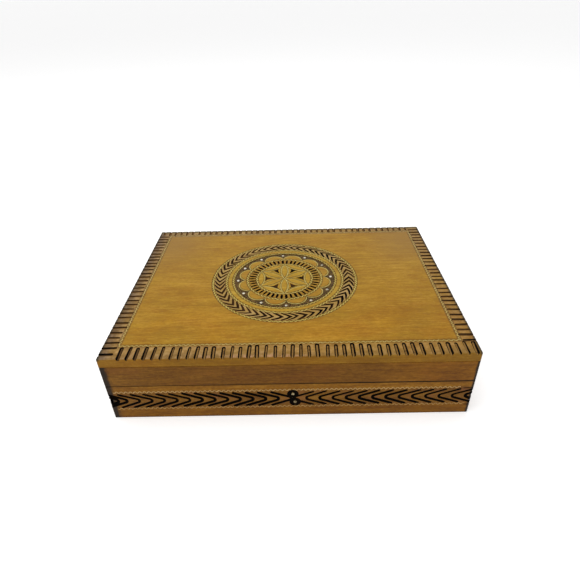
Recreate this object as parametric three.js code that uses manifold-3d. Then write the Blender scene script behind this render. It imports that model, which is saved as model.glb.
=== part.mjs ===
// Carved wooden box with a hinged lid, in millimetres, with +Z up and the front towards -Y.
// The origin is in the middle of the underside, where the box rests on a table.

import * as THREE from 'three';
import { mergeVertices } from 'three/addons/utils/BufferGeometryUtils.js';
import Module from 'manifold-3d';

const wasm = await Module();
wasm.setup();

// The box
const boxWidth = 230;
const boxDepth = 170;
const baseHeight = 28;
const lidRailHeight = 15.8;
const topBoardThickness = 6.5;
const wallThickness = 8;
const cornerRadius = 1;
const topArrisRadius = 0.7;

// The front and back boards run the full width. A lip at each end covers the side board's end.
const cornerLip = 4.25;

// The bottom board is let into a rebate round the foot of the walls
const bottomThickness = 3.5;
const bottomRebate = 3.5;

// Clearances
const seamGap = 0.3;
const glueLine = 0.1;
const mortiseClearance = 0.1;
const nailClearance = 0.05;
const pinClearance = 0.05;
const knuckleGap = 0.15;
const barrelClearance = 0.3;

// Butt hinges, let into the two rims at the back with the barrel outside. Each hinge's middle lies
// hingeInset in from its end of the box.
const hingeInset = 42;
const hingeLength = 25;
const leafWidth = 6.5;
const leafThickness = 0.8;
const barrelRadius = 1.6;
const hingePinRadius = 0.8;
const middleKnuckleLength = 9.7;

// Countersunk hinge nails, two in each leaf, each nailEndDistance in from the leaf's end
const nailEndDistance = 4.5;
const nailSpacing = hingeLength - 2 * nailEndDistance;
const nailInset = 3.4;
const nailLength = 7;
const nailShankRadius = 0.5;
const nailHeadRadius = 1.05;
const nailHeadHeight = 0.5;
const nailPointLength = 1.2;

// Notched border of the top board: gouge cuts that run out over the arris. Each side's row is
// counted anticlockwise, seen from above, and keeps its own distance from the board's corners.
// The rows are the front's, the right side's, the back's and the left side's.
const notchWidth = 2.2;
const notchPitch = 5.15;
const notchRows = [
  { reach: 10.6, start: 13.2, stop: 3.3 },
  { reach: 9.3, start: 11.9, stop: 6.4 },
  { reach: 8, start: 11.8, stop: 3.6 },
  { reach: 9.6, start: 10.4, stop: 4.3 },
];
const notchInnerDepth = 0.6;
const notchOuterDepth = 1.5;

// Rosette, drawn by compass and set a little to the left of the middle and to the back
const rosetteX = -3.1;
const rosetteY = 2;
const petalRadius = 20.3;
const petalLineWidth = 0.6;
const petalLineDepth = 0.3;
const pitInnerRadius = 8;
const pitOuterRadius = 14.3;
const pitSpread = THREE.MathUtils.degToRad(17);
const pitDepth = 1;
const tickCount = 46;
const tickInnerRadius = 21.5;
const tickOuterRadius = 26.5;
const tickWidth = 1.5;
const tickDepth = 0.7;
const lobeCount = 12;
const lobeCuspRadius = 29.5;
const lobeTopRadius = 35;
const lobeTurn = THREE.MathUtils.degToRad(2.7);
const groundOuterRadius = 37.5;
const groundDepth = 0.4;
const herringboneCount = 55;
const herringboneInnerRadius = 44.4;
const herringboneApexRadius = 48.3;
const herringboneOuterRadius = 51.9;
const herringboneSweep = THREE.MathUtils.degToRad(7.8);
const herringboneWidth = 1.3;
const herringboneDepth = 0.6;

// Chevron band along the front of the base
const bandHeight = 15.4;
const chevronHalfHeight = 5.9;
const chevronArmAngle = THREE.MathUtils.degToRad(20.5);
const chevronApexRadius = 1.5;
const chevronWidth = 1.5;
const chevronDepth = 0.8;
const leftChevronPitch = 8.05;
const rightChevronPitch = 8.35;
const leftChevronStart = 0.9;
const rightChevronStart = 2.3;

// Two burnt rings one above the other, where the front's chevrons meet, each with a pin in it
const frontRings = [
  { name: 'front_pin_upper', x: 2.1, z: 19.2 },
  { name: 'front_pin_lower', x: 3.4, z: 12.2 },
];
const ringRadius = 2.4;
const ringWidth = 2;
const ringDepth = 0.8;

// Ornamental pins: a low domed head on a round shank
const pinHeadRadius = 1.15;
const pinHeadHeight = 0.35;
const pinShankRadius = 0.6;
const pinLength = 4.5;
const rosettePinRadius = 34.7;

// Carving tools reach this far above the face that they cut
const lift = 1;

// Places that follow from the sizes
const lidRim = baseHeight + seamGap;
const topBoardUnderside = lidRailHeight + glueLine;
const hingeX = boxWidth / 2 - hingeInset;
const hingeAxisY = boxDepth / 2 + barrelRadius + barrelClearance;
const hingeAxisZ = baseHeight + seamGap / 2;
const groundFloor = topBoardThickness - groundDepth;

// Materials
const topWood = new THREE.MeshStandardMaterial({ color: '#ae8333', roughness: 0.45, metalness: 0 });
const railWood = new THREE.MeshStandardMaterial({ color: '#7a5322', roughness: 0.5, metalness: 0 });
const wallWood = new THREE.MeshStandardMaterial({ color: '#8c622a', roughness: 0.5, metalness: 0 });
const innerWood = new THREE.MeshStandardMaterial({ color: '#b98f5a', roughness: 0.7, metalness: 0 });
const brass = new THREE.MeshStandardMaterial({ color: '#b08d4a', roughness: 0.35, metalness: 1 });
const whiteMetal = new THREE.MeshStandardMaterial({ color: '#d6d2c6', roughness: 0.35, metalness: 1 });

// A closed geometry with its shared corners merged, as a solid that can be cut and joined
function solid(geometry) {
  const bare = geometry.index ? geometry.toNonIndexed() : geometry.clone();
  bare.deleteAttribute('normal');
  bare.deleteAttribute('uv');
  const welded = mergeVertices(bare, 1e-4);
  const corners = [];
  for (let i = 0; i < welded.index.count; i += 3) {
    const [a, b, c] = [0, 1, 2].map((k) => welded.index.getX(i + k));
    if (a !== b && b !== c && c !== a) corners.push(a, b, c);
  }
  return new wasm.Manifold(new wasm.Mesh({
    numProp: 3,
    vertProperties: new Float32Array(welded.attributes.position.array),
    triVerts: new Uint32Array(corners),
  }));
}

// A solid as a named piece
function piece(name, body, material) {
  const cut = body.getMesh();
  const geometry = new THREE.BufferGeometry();
  geometry.setAttribute('position', new THREE.BufferAttribute(new Float32Array(cut.vertProperties), 3));
  geometry.setIndex(new THREE.BufferAttribute(new Uint32Array(cut.triVerts), 1));
  geometry.computeVertexNormals();
  const mesh = new THREE.Mesh(geometry, material);
  mesh.name = name;
  return mesh;
}

function cutAll(body, cutters) {
  return cutters.reduce((left, cutter) => left.subtract(cutter), body);
}

function joinAll(bodies) {
  return bodies.reduce((whole, body) => whole.add(body));
}

// A block between two corners
function block(x0, x1, y0, y1, z0, z1) {
  const geometry = new THREE.BoxGeometry(x1 - x0, y1 - y0, z1 - z0);
  return geometry.translate((x0 + x1) / 2, (y0 + y1) / 2, (z0 + z1) / 2);
}

// A rod or the space of a bore, along x
function rod(radius, x0, x1) {
  const geometry = new THREE.CylinderGeometry(radius, radius, x1 - x0, 14);
  return geometry.rotateZ(Math.PI / 2).translate((x0 + x1) / 2, 0, 0);
}

// A board's outline drawn out upwards
function board(outline, height) {
  const settings = { depth: height, bevelEnabled: false, curveSegments: 4 };
  return new THREE.ExtrudeGeometry(outline, settings);
}

function roundedRectangle(width, depth, radius) {
  const [x, y, r] = [width / 2, depth / 2, radius];
  const outline = new THREE.Shape();
  outline.moveTo(-x + r, -y);
  outline.lineTo(x - r, -y).absarc(x - r, -y + r, r, -Math.PI / 2, 0);
  outline.lineTo(x, y - r).absarc(x - r, y - r, r, 0, Math.PI / 2);
  outline.lineTo(-x + r, y).absarc(-x + r, y - r, r, Math.PI / 2, Math.PI);
  outline.lineTo(-x, -y + r).absarc(-x + r, -y + r, r, Math.PI, Math.PI * 1.5);
  return outline;
}

// Plan of the front board: full width outside, rounded corners, and a lip at each end
function frontOutline() {
  const [x, y, r] = [boxWidth / 2, boxDepth / 2, cornerRadius];
  const shoulder = x - wallThickness - glueLine;
  const outline = new THREE.Shape();
  outline.moveTo(-x + r, -y);
  outline.lineTo(x - r, -y).absarc(x - r, -y + r, r, -Math.PI / 2, 0);
  outline.lineTo(x, -y + cornerLip);
  outline.lineTo(shoulder, -y + cornerLip);
  outline.lineTo(shoulder, -y + wallThickness);
  outline.lineTo(-shoulder, -y + wallThickness);
  outline.lineTo(-shoulder, -y + cornerLip);
  outline.lineTo(-x, -y + cornerLip);
  outline.lineTo(-x, -y + r).absarc(-x + r, -y + r, r, Math.PI, Math.PI * 1.5);
  return outline;
}

// The front board and the back board are alike, turned half round
function endBoard(height, backward) {
  const geometry = board(frontOutline(), height);
  return solid(backward ? geometry.rotateZ(Math.PI) : geometry);
}

// A side board fits between the lips of the front and back boards
function sideBoard(height, direction) {
  const length = boxDepth / 2 - cornerLip - glueLine;
  const inner = direction * (boxWidth / 2 - wallThickness);
  const outer = direction * (boxWidth / 2);
  return solid(block(Math.min(inner, outer), Math.max(inner, outer), -length, length, 0, height));
}

// A geometry drawn on a face, with z out of it, is turned upright to the front face
function ontoFront(geometry) {
  return geometry.rotateX(Math.PI / 2).translate(0, -boxDepth / 2, 0);
}

// A V groove along points of a face, tapered to endScale of its section at each free end
function veeGroove(points, width, depth, endScale) {
  const slope = width / 2 / depth;
  const positions = [];
  points.forEach((point, i) => {
    const before = points[Math.max(i - 1, 0)];
    const after = points[Math.min(i + 1, points.length - 1)];
    const along = after.clone().sub(before).normalize();
    const leg = (i > 0 ? point.clone().sub(before) : after.clone().sub(point)).normalize();
    const mitre = 1 / Math.max(leg.dot(along), 0.4);
    const inEnd = i === 0 || i === points.length - 1;
    const deep = depth * (inEnd ? endScale : 1);
    const half = slope * (deep + lift) * mitre;
    positions.push(point.x - along.y * half, point.y + along.x * half, lift);
    positions.push(point.x + along.y * half, point.y - along.x * half, lift);
    positions.push(point.x, point.y, -deep);
  });
  const faces = [0, 2, 1];
  for (let i = 0; i < points.length - 1; i += 1) {
    const [leftA, rightA, lowA, leftB, rightB, lowB] = [0, 1, 2, 3, 4, 5].map((k) => 3 * i + k);
    faces.push(leftA, rightA, rightB, leftA, rightB, leftB);
    faces.push(rightA, lowA, lowB, rightA, lowB, rightB);
    faces.push(leftA, leftB, lowB, leftA, lowB, lowA);
  }
  const last = 3 * (points.length - 1);
  faces.push(last, last + 1, last + 2);
  return closedGeometry(positions, faces);
}

function closedGeometry(positions, faces) {
  const geometry = new THREE.BufferGeometry();
  geometry.setAttribute('position', new THREE.Float32BufferAttribute(positions, 3));
  geometry.setIndex(faces);
  return geometry;
}

// A ring-shaped V groove round the origin of a face
function veeRing(radius, width, depth) {
  const half = (width / 2 / depth) * (depth + lift);
  const section = [[radius - half, lift], [radius, -depth], [radius + half, lift], [radius - half, lift]];
  const profile = section.map(([r, z]) => new THREE.Vector2(r, z));
  return new THREE.LatheGeometry(profile, 14).rotateX(Math.PI / 2);
}

function polar(radius, angle) {
  return new THREE.Vector2(radius * Math.cos(angle), radius * Math.sin(angle));
}

// Points along a circular arc, ends included
function arcPoints(centre, radius, from, to, steps) {
  return Array.from({ length: steps + 1 }, (_, i) => (
    polar(radius, from + (to - from) * i / steps).add(centre)
  ));
}

// Gouge cuts of the notched border, one row for each side. Each row starts clear of the last one's
// end, so that the rows follow each other round the board like a pinwheel.
function notchRow({ reach, start, stop }, turn) {
  const [along, across] = turn % 2 ? [boxDepth / 2, boxWidth / 2] : [boxWidth / 2, boxDepth / 2];
  const half = notchWidth / 2;
  const outline = new THREE.Shape();
  outline.moveTo(-half, -lift).lineTo(half, -lift).lineTo(half, reach - half);
  outline.absarc(0, reach - half, half, 0, Math.PI);
  const fall = Math.atan((notchOuterDepth - notchInnerDepth) / reach);
  const room = 2 * along - start - stop;
  const count = Math.floor(room / notchPitch) + 1;
  const cutters = [];
  for (let i = 0; i < count; i += 1) {
    const cutter = new THREE.ExtrudeGeometry(outline, {
      depth: notchOuterDepth + 2 * lift, bevelEnabled: false, curveSegments: 2,
    });
    cutter.rotateX(fall);
    const place = start - along + i * room / (count - 1);
    cutter.translate(place, -across, topBoardThickness - notchOuterDepth);
    cutters.push(solid(cutter.rotateZ(turn * Math.PI / 2)));
  }
  return cutters;
}

// The six arcs that cross at the middle and bound the petals, and the six that link their tips
function petalLines() {
  const lines = [];
  for (let i = 0; i < 6; i += 1) {
    const angle = Math.PI / 6 + i * Math.PI / 3;
    const third = Math.PI / 3;
    const through = arcPoints(polar(petalRadius, angle), petalRadius,
      angle + Math.PI - third, angle + Math.PI + third, 8);
    const outside = angle + Math.PI / 6;
    const linking = arcPoints(polar(petalRadius * Math.sqrt(3), outside), petalRadius,
      outside + Math.PI - third / 2, outside + Math.PI + third / 2, 4);
    lines.push(veeGroove(through, petalLineWidth, petalLineDepth, 0.5));
    lines.push(veeGroove(linking, petalLineWidth, petalLineDepth, 0.5));
  }
  return lines;
}

// Three-armed pits between the petals, cut with a knife to a point in the middle
function petalPits() {
  const middle = (pitInnerRadius + pitOuterRadius) / 2;
  const waist = 0.3 * (pitOuterRadius - pitInnerRadius);
  const centre = new THREE.Vector2(middle + 0.6 * waist, 0);
  const outline = [
    polar(pitInnerRadius, 0),
    polar(waist, -Math.PI / 2.5).add(centre),
    polar(pitOuterRadius, -pitSpread),
    polar(waist, 0).add(centre),
    polar(pitOuterRadius, pitSpread),
    polar(waist, Math.PI / 2.5).add(centre),
  ];
  const flare = 1 + lift / pitDepth;
  const positions = [centre.x, centre.y, -pitDepth, centre.x, centre.y, lift];
  outline.forEach((point) => {
    const wide = point.clone().sub(centre).multiplyScalar(flare).add(centre);
    positions.push(wide.x, wide.y, lift);
  });
  const faces = outline.flatMap((_, i) => {
    const [a, b] = [2 + i, 2 + (i + 1) % outline.length];
    return [0, b, a, 1, a, b];
  });
  return Array.from({ length: 6 }, (_, i) => (
    closedGeometry(positions, faces).rotateZ(i * Math.PI / 3)
  ));
}

// The sunk ground between the scalloped lobes and the ring outside them
function scallopGround() {
  const halfLobe = Math.PI / lobeCount;
  const chordHalf = lobeCuspRadius * Math.sin(halfLobe);
  const chordRadius = lobeCuspRadius * Math.cos(halfLobe);
  const rise = lobeTopRadius - chordRadius;
  const lobeRadius = (chordHalf ** 2 + rise ** 2) / (2 * rise);
  const opening = Math.asin(Math.min(chordHalf / lobeRadius, 1));
  const scallops = [];
  for (let i = 0; i < lobeCount; i += 1) {
    const angle = (2 * i + 1) * halfLobe + lobeTurn;
    const centre = polar(lobeTopRadius - lobeRadius, angle);
    const points = arcPoints(centre, lobeRadius, angle - opening, angle + opening, 4);
    scallops.push(...points.slice(0, -1));
  }
  const ground = new THREE.Shape().absarc(0, 0, groundOuterRadius, 0, 2 * Math.PI);
  ground.holes.push(new THREE.Path(scallops));
  const geometry = new THREE.ExtrudeGeometry(ground, {
    depth: groundDepth + lift, bevelEnabled: false, curveSegments: 48,
  });
  return geometry.translate(0, 0, -groundDepth);
}

function ticks() {
  return Array.from({ length: tickCount }, (_, i) => {
    const angle = 2 * Math.PI * i / tickCount;
    const line = [polar(tickInnerRadius, angle), polar(tickOuterRadius, angle)];
    return veeGroove(line, tickWidth, tickDepth, 0.8);
  });
}

// Herringbone ring: chevrons nose to tail, pointing anticlockwise seen from above
function herringbone() {
  return Array.from({ length: herringboneCount }, (_, i) => {
    const angle = 2 * Math.PI * i / herringboneCount;
    const line = [
      polar(herringboneOuterRadius, angle - herringboneSweep),
      polar(herringboneApexRadius, angle),
      polar(herringboneInnerRadius, angle - herringboneSweep),
    ];
    return veeGroove(line, herringboneWidth, herringboneDepth, 0.6);
  });
}

// The pins stand in the ground where two lobes meet
function rosettePlaces() {
  const middle = new THREE.Vector2(rosetteX, rosetteY);
  return Array.from({ length: lobeCount }, (_, i) => (
    polar(rosettePinRadius, 2 * Math.PI * i / lobeCount + lobeTurn).add(middle)
  ));
}

function pinGeometry(clearance) {
  const profile = [
    [0, -pinLength - clearance],
    [pinShankRadius + clearance, -pinLength - clearance],
    [pinShankRadius + clearance, 0],
  ];
  const head = [[pinHeadRadius, 0], [pinHeadRadius * 0.8, pinHeadHeight * 0.7], [0, pinHeadHeight]];
  const open = [[pinShankRadius + clearance, lift], [0, lift]];
  const outline = [...profile, ...(clearance > 0 ? open : head)];
  const points = outline.map(([r, z]) => new THREE.Vector2(r, z));
  return new THREE.LatheGeometry(points, 8).rotateX(Math.PI / 2);
}

// The lid's top: one board, eased all round, notched, carved and drilled for the pins
function topBoard() {
  const inset = 2 * topArrisRadius;
  const outline = roundedRectangle(boxWidth - inset, boxDepth - inset, cornerRadius - topArrisRadius);
  const blank = solid(new THREE.ExtrudeGeometry(outline, {
    depth: topBoardThickness - topArrisRadius,
    bevelEnabled: true,
    bevelSize: topArrisRadius,
    bevelThickness: topArrisRadius,
    bevelSegments: 2,
    curveSegments: 2,
  }));
  const below = solid(block(-boxWidth, boxWidth, -boxDepth, boxDepth, -2 * topArrisRadius, 0));
  const carving = [...petalLines(), ...petalPits(), ...ticks(), scallopGround(), ...herringbone()];
  const rosette = carving.map((cutter) => solid(cutter.translate(rosetteX, rosetteY, topBoardThickness)));
  const holes = rosettePlaces().map(({ x, y }) => (
    solid(pinGeometry(nailClearance).translate(x, y, groundFloor))
  ));
  const notches = notchRows.flatMap(notchRow);
  const body = cutAll(blank.subtract(below), [...notches, ...rosette, ...holes]);
  return piece('top_board', body, topWood);
}

function rosettePins() {
  return rosettePlaces().map(({ x, y }, i) => {
    const pin = pinGeometry(0).translate(x, y, groundFloor + pinClearance);
    return piece(`rosette_pin_${i + 1}`, solid(pin), whiteMetal);
  });
}

// One chevron: two straight arms and a round apex, pointing along x by its direction
function chevron(apex, direction) {
  const sharp = chevronApexRadius * (1 / Math.sin(chevronArmAngle) - 1);
  const centre = new THREE.Vector2(-chevronApexRadius, 0);
  const turn = Math.PI / 2 - chevronArmAngle;
  const tail = sharp - chevronHalfHeight / Math.tan(chevronArmAngle);
  const line = [
    new THREE.Vector2(tail, chevronHalfHeight),
    ...arcPoints(centre, chevronApexRadius, turn, -turn, 3),
    new THREE.Vector2(tail, -chevronHalfHeight),
  ];
  const placed = line.map(({ x, y }) => new THREE.Vector2(apex + direction * x, bandHeight + y));
  return veeGroove(placed, chevronWidth, chevronDepth, 0.6);
}

// Chevrons that point at the rings, repeated outwards from start until they pass the corner
function chevronRun(start, direction, pitch) {
  const count = Math.ceil((boxWidth / 2 + direction * start) / pitch) + 1;
  return Array.from({ length: count }, (_, i) => chevron(start - direction * i * pitch, direction));
}

function chevronBand() {
  const run = [
    ...chevronRun(leftChevronStart, 1, leftChevronPitch),
    ...chevronRun(rightChevronStart, -1, rightChevronPitch),
  ];
  return run.map((cutter) => solid(ontoFront(cutter)));
}

function frontRingCuts() {
  return frontRings.flatMap(({ x, z }) => {
    const groove = veeRing(ringRadius, ringWidth, ringDepth).translate(x, z, 0);
    const hole = pinGeometry(nailClearance).translate(x, z, 0);
    return [solid(ontoFront(groove)), solid(ontoFront(hole))];
  });
}

function frontPins() {
  return frontRings.map(({ name, x, z }) => {
    const pin = ontoFront(pinGeometry(0).translate(x, z, pinClearance));
    return piece(name, solid(pin), whiteMetal);
  });
}

// Rebate round the foot of the walls for the bottom board
function bottomSpace(clearance) {
  const x = boxWidth / 2 - wallThickness + bottomRebate - clearance;
  const y = boxDepth / 2 - wallThickness + bottomRebate - clearance;
  return block(-x, x, -y, y, 0, bottomThickness - clearance);
}

function bottomBoard() {
  return piece('bottom_board', solid(bottomSpace(glueLine)), innerWood);
}

// Mortises for the hinge leaves and pilot holes for their nails, in a rim at height z.
// The rim faces up on the base and down on the lid.
function hingeSeats(rim, faces) {
  const long = hingeLength / 2 + mortiseClearance;
  const inner = boxDepth / 2 - leafWidth - mortiseClearance;
  const floor = rim - faces * (leafThickness + mortiseClearance);
  const open = rim + faces * lift;
  return [-1, 1].flatMap((end) => {
    const x = end * hingeX;
    const [low, high] = [Math.min(floor, open), Math.max(floor, open)];
    const mortise = block(x - long, x + long, inner, boxDepth / 2 + lift, low, high);
    const holes = nailPlaces().map((place) => (
      turned(nailGeometry(nailClearance), faces).translate(x + place, boxDepth / 2 - nailInset, rim)
    ));
    return [mortise, ...holes].map(solid);
  });
}

function nailPlaces() {
  return [-nailSpacing / 2, nailSpacing / 2];
}

// A piece drawn to face up is turned over where it belongs to the lid's rim
function turned(geometry, faces) {
  return faces > 0 ? geometry : geometry.rotateX(Math.PI);
}

// A countersunk nail with its head's flat at z = 0, or the hole that it fills when given a clearance
function nailGeometry(clearance) {
  const top = clearance > 0 ? lift : 0;
  const head = nailHeadRadius + clearance;
  const shank = nailShankRadius + clearance;
  const outline = [
    [0, -nailLength - clearance],
    [shank * 0.4, -nailLength - clearance],
    [shank, -nailLength + nailPointLength],
    [shank, -nailHeadHeight - clearance],
    [head, -clearance],
    [head, top],
    [0, top],
  ];
  const points = outline.map(([r, z]) => new THREE.Vector2(r, z));
  const unique = points.filter((point, i) => i === 0 || !point.equals(points[i - 1]));
  return new THREE.LatheGeometry(unique, 8).rotateX(Math.PI / 2);
}

// The base: four walls and the bottom board
function base() {
  const group = new THREE.Group();
  const rebate = solid(bottomSpace(0));
  const seats = hingeSeats(baseHeight, 1);
  const front = cutAll(endBoard(baseHeight, false), [rebate, ...chevronBand(), ...frontRingCuts()]);
  const back = cutAll(endBoard(baseHeight, true), [rebate, ...seats]);
  const left = sideBoard(baseHeight, -1).subtract(rebate);
  const right = sideBoard(baseHeight, 1).subtract(rebate);
  group.add(
    piece('base_front_wall', front, wallWood),
    piece('base_back_wall', back, wallWood),
    piece('base_left_wall', left, wallWood),
    piece('base_right_wall', right, wallWood),
    bottomBoard(),
    ...frontPins(),
  );
  return group;
}

// The lid: four rails under the top board, drawn from the lid's rim up
function lid() {
  const group = new THREE.Group();
  const top = new THREE.Group();
  top.position.z = topBoardUnderside;
  top.add(topBoard(), ...rosettePins());
  group.position.z = lidRim;
  group.add(
    piece('lid_front_rail', endBoard(lidRailHeight, false), railWood),
    piece('lid_back_rail', cutAll(endBoard(lidRailHeight, true), hingeSeats(0, -1)), railWood),
    piece('lid_left_rail', sideBoard(lidRailHeight, -1), railWood),
    piece('lid_right_rail', sideBoard(lidRailHeight, 1), railWood),
    top,
  );
  return group;
}

// A hinge leaf drawn about the hinge's axis: the plate lies under the rim's face and its knuckles are
// tongues of the plate rolled round the pin. The plate stops short of the other leaf's knuckles.
function hingeLeaf(name, faces, knuckles) {
  const half = hingeLength / 2;
  const rim = -faces * seamGap / 2;
  const floor = rim - faces * leafThickness;
  const [low, high] = [Math.min(rim, floor), Math.max(rim, floor)];
  const backFace = boxDepth / 2 - hingeAxisY;
  const plate = solid(block(-half, half, backFace - leafWidth, backFace, low, high));
  const tongueEnd = -(hingePinRadius + barrelRadius) / 2;
  const parts = knuckles.map(([x0, x1]) => {
    const tongue = solid(block(x0, x1, backFace - leafWidth / 2, tongueEnd, low, high));
    return solid(rod(barrelRadius, x0, x1)).add(tongue);
  });
  const bore = solid(rod(hingePinRadius + pinClearance, -half - lift, half + lift));
  const holes = nailPlaces().map((place) => (
    solid(turned(nailGeometry(nailClearance), faces).translate(place, backFace - nailInset, rim))
  ));
  return piece(name, cutAll(joinAll([plate, ...parts]), [bore, ...holes]), brass);
}

function hingeNails(name, faces) {
  const y = boxDepth / 2 - hingeAxisY - nailInset;
  const rim = -faces * seamGap / 2;
  return nailPlaces().map((place, i) => {
    const nail = turned(nailGeometry(0), faces).translate(place, y, rim);
    return piece(`${name}_${i + 1}`, solid(nail), brass);
  });
}

// A butt hinge: two leaves, the pin and four nails. The base leaf holds the two outer knuckles and
// the pin.
function hinge(side) {
  const half = hingeLength / 2;
  const middle = middleKnuckleLength / 2;
  const outer = middle + knuckleGap;
  const group = new THREE.Group();
  group.position.set((side === 'left' ? -1 : 1) * hingeX, hingeAxisY, hingeAxisZ);
  group.add(
    hingeLeaf(`${side}_hinge_base_leaf`, 1, [[-half, -outer], [outer, half]]),
    hingeLeaf(`${side}_hinge_lid_leaf`, -1, [[-middle, middle]]),
    piece(`${side}_hinge_pin`, solid(rod(hingePinRadius, -half, half)), brass),
    ...hingeNails(`${side}_hinge_base_nail`, 1),
    ...hingeNails(`${side}_hinge_lid_nail`, -1),
  );
  return group;
}

const box = new THREE.Group();
box.add(base(), lid(), hinge('left'), hinge('right'));

export default box;
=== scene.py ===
import math

import bmesh
import bpy
from mathutils import Matrix, Vector


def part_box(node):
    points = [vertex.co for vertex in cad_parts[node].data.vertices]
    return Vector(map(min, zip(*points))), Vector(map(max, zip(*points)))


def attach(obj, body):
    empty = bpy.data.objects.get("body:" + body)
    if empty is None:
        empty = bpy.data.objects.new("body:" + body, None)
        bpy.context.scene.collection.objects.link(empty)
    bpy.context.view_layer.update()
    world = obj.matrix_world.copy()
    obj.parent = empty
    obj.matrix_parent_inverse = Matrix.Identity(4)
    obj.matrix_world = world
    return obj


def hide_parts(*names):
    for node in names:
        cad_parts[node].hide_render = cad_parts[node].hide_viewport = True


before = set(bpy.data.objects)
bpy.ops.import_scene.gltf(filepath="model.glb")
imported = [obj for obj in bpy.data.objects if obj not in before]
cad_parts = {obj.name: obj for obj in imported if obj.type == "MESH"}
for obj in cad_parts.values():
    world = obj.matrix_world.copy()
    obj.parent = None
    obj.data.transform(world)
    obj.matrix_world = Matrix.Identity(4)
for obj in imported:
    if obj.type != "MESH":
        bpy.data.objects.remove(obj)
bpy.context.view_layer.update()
mm = 0.001


# The view. From in front and a little right of the middle, looking down on the lid, with the
# camera tipped slightly to one side.
eye = Vector((5.37, -287.17, 232.45)) * mm
heading = math.radians(0.914)
dip = math.radians(33.647)
tip = math.radians(-1.652)
sensor_width = 36
picture_width = 580
focal_pixels = 454.9

forward = Vector((-math.sin(heading) * math.cos(dip), math.cos(heading) * math.cos(dip), -math.sin(dip)))
level = forward.cross(Vector((0, 0, 1))).normalized()
above = level.cross(forward)
right = level * math.cos(tip) + above * math.sin(tip)
up = above * math.cos(tip) - level * math.sin(tip)
lens = bpy.data.cameras.new("camera")
lens.sensor_width = sensor_width
lens.lens = focal_pixels / picture_width * sensor_width
lens.clip_start = 10 * mm
camera = bpy.data.objects.new("camera", lens)
camera.matrix_world = Matrix((
    (right.x, up.x, -forward.x, eye.x),
    (right.y, up.y, -forward.y, eye.y),
    (right.z, up.z, -forward.z, eye.z),
    (0, 0, 0, 1),
))
bpy.context.collection.objects.link(camera)
bpy.context.scene.camera = camera


# The lid's top board, first as a blank. One board of fine-grained wood, its grain along the
# front, planed flat and rounded over on all four top edges, then stained ochre and varnished.
board_low, board_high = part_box("top_board")
arris_radius = 0.7 * mm
corner_radius = 1 * mm
foot_ease = 0.15 * mm
corner_steps = 4
arris_steps = 4


def colour(red, green, blue):
    """A shade given as it is seen, from 0 to 255, as the shader takes it"""
    def light(value):
        value /= 255
        return value / 12.92 if value <= 0.04045 else ((value + 0.055) / 1.055) ** 2.4
    return (light(red), light(green), light(blue), 1)


def put(tree, kind, *inputs, out=0, **settings):
    """Adds a node. Each input is a value, an output to link, or None to leave as it is"""
    node = tree.nodes.new(kind)
    for name, value in settings.items():
        setattr(node, name, value)
    for socket, value in zip([s for s in node.inputs if s.enabled], inputs):
        if isinstance(value, bpy.types.NodeSocket):
            tree.links.new(value, socket)
        elif value is not None:
            socket.default_value = value
    return node.outputs[out] if isinstance(out, str) else [s for s in node.outputs if s.enabled][out]


def ramp(tree, position, stops):
    """Shades between stops, each a position and a shade"""
    node = tree.nodes.new("ShaderNodeValToRGB")
    tree.links.new(position, node.inputs[0])
    elements = node.color_ramp.elements
    elements.remove(elements[1])
    elements[0].position, elements[0].color = stops[0]
    for place, shade in stops[1:]:
        elements.new(place).color = shade
    return node.outputs[0]


def maths(tree, operation, *inputs):
    return put(tree, "ShaderNodeMath", *inputs, operation=operation)


def times(tree, first, *others):
    """The product of two or more values"""
    for other in others:
        first = maths(tree, "MULTIPLY", first, other)
    return first


def apart(tree, value, place):
    """How far a value is from a place, on either side"""
    return maths(tree, "ABSOLUTE", maths(tree, "SUBTRACT", value, place))


def short_of(tree, value, limit):
    """How far a value falls short of a limit on either side of the middle"""
    return maths(tree, "SUBTRACT", limit, maths(tree, "ABSOLUTE", value))


def vector_maths(tree, operation, *inputs):
    return put(tree, "ShaderNodeVectorMath", *inputs, operation=operation)


def axes(tree, place):
    """The x, y and z of a place"""
    return [put(tree, "ShaderNodeSeparateXYZ", place, out=axis) for axis in "XYZ"]


def band(tree, value, start, end):
    """From 0 at start to 1 at end, smoothly"""
    return put(tree, "ShaderNodeMapRange", value, start, end, 0, 1, interpolation_type="SMOOTHSTEP")


def graded(tree, value, start, end, first, last):
    """From first at start to last at end, evenly"""
    return put(tree, "ShaderNodeMapRange", value, start, end, first, last)


def mixed(tree, share, first, second, blend_type="MIX"):
    return put(tree, "ShaderNodeMix", share, first, second, data_type="RGBA", blend_type=blend_type)


def cloud(tree, place, sizes, detail, roughness):
    """Soft random patches of about the given sizes along x, y and z, from 0 to 1"""
    spread = vector_maths(tree, "MULTIPLY", place, [1 / size for size in sizes])
    return put(tree, "ShaderNodeTexNoise", spread, 1, detail, roughness)


def lengthwise(along, length, width):
    """The sizes of a streak that runs along x (0), y (1) or z (2)"""
    return [length if axis == along else width for axis in range(3)]


def new_finish(name):
    """A material, its tree and the place of a point on the piece"""
    finish = bpy.data.materials.new(name)
    finish.use_nodes = True
    tree = finish.node_tree
    tree.nodes.clear()
    return finish, tree, put(tree, "ShaderNodeTexCoord", out="Object")


def ended(tree, kind, result):
    """Ends a tree in its output node, of the given kind"""
    tree.links.new(result, tree.nodes.new(kind).inputs[0])


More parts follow.
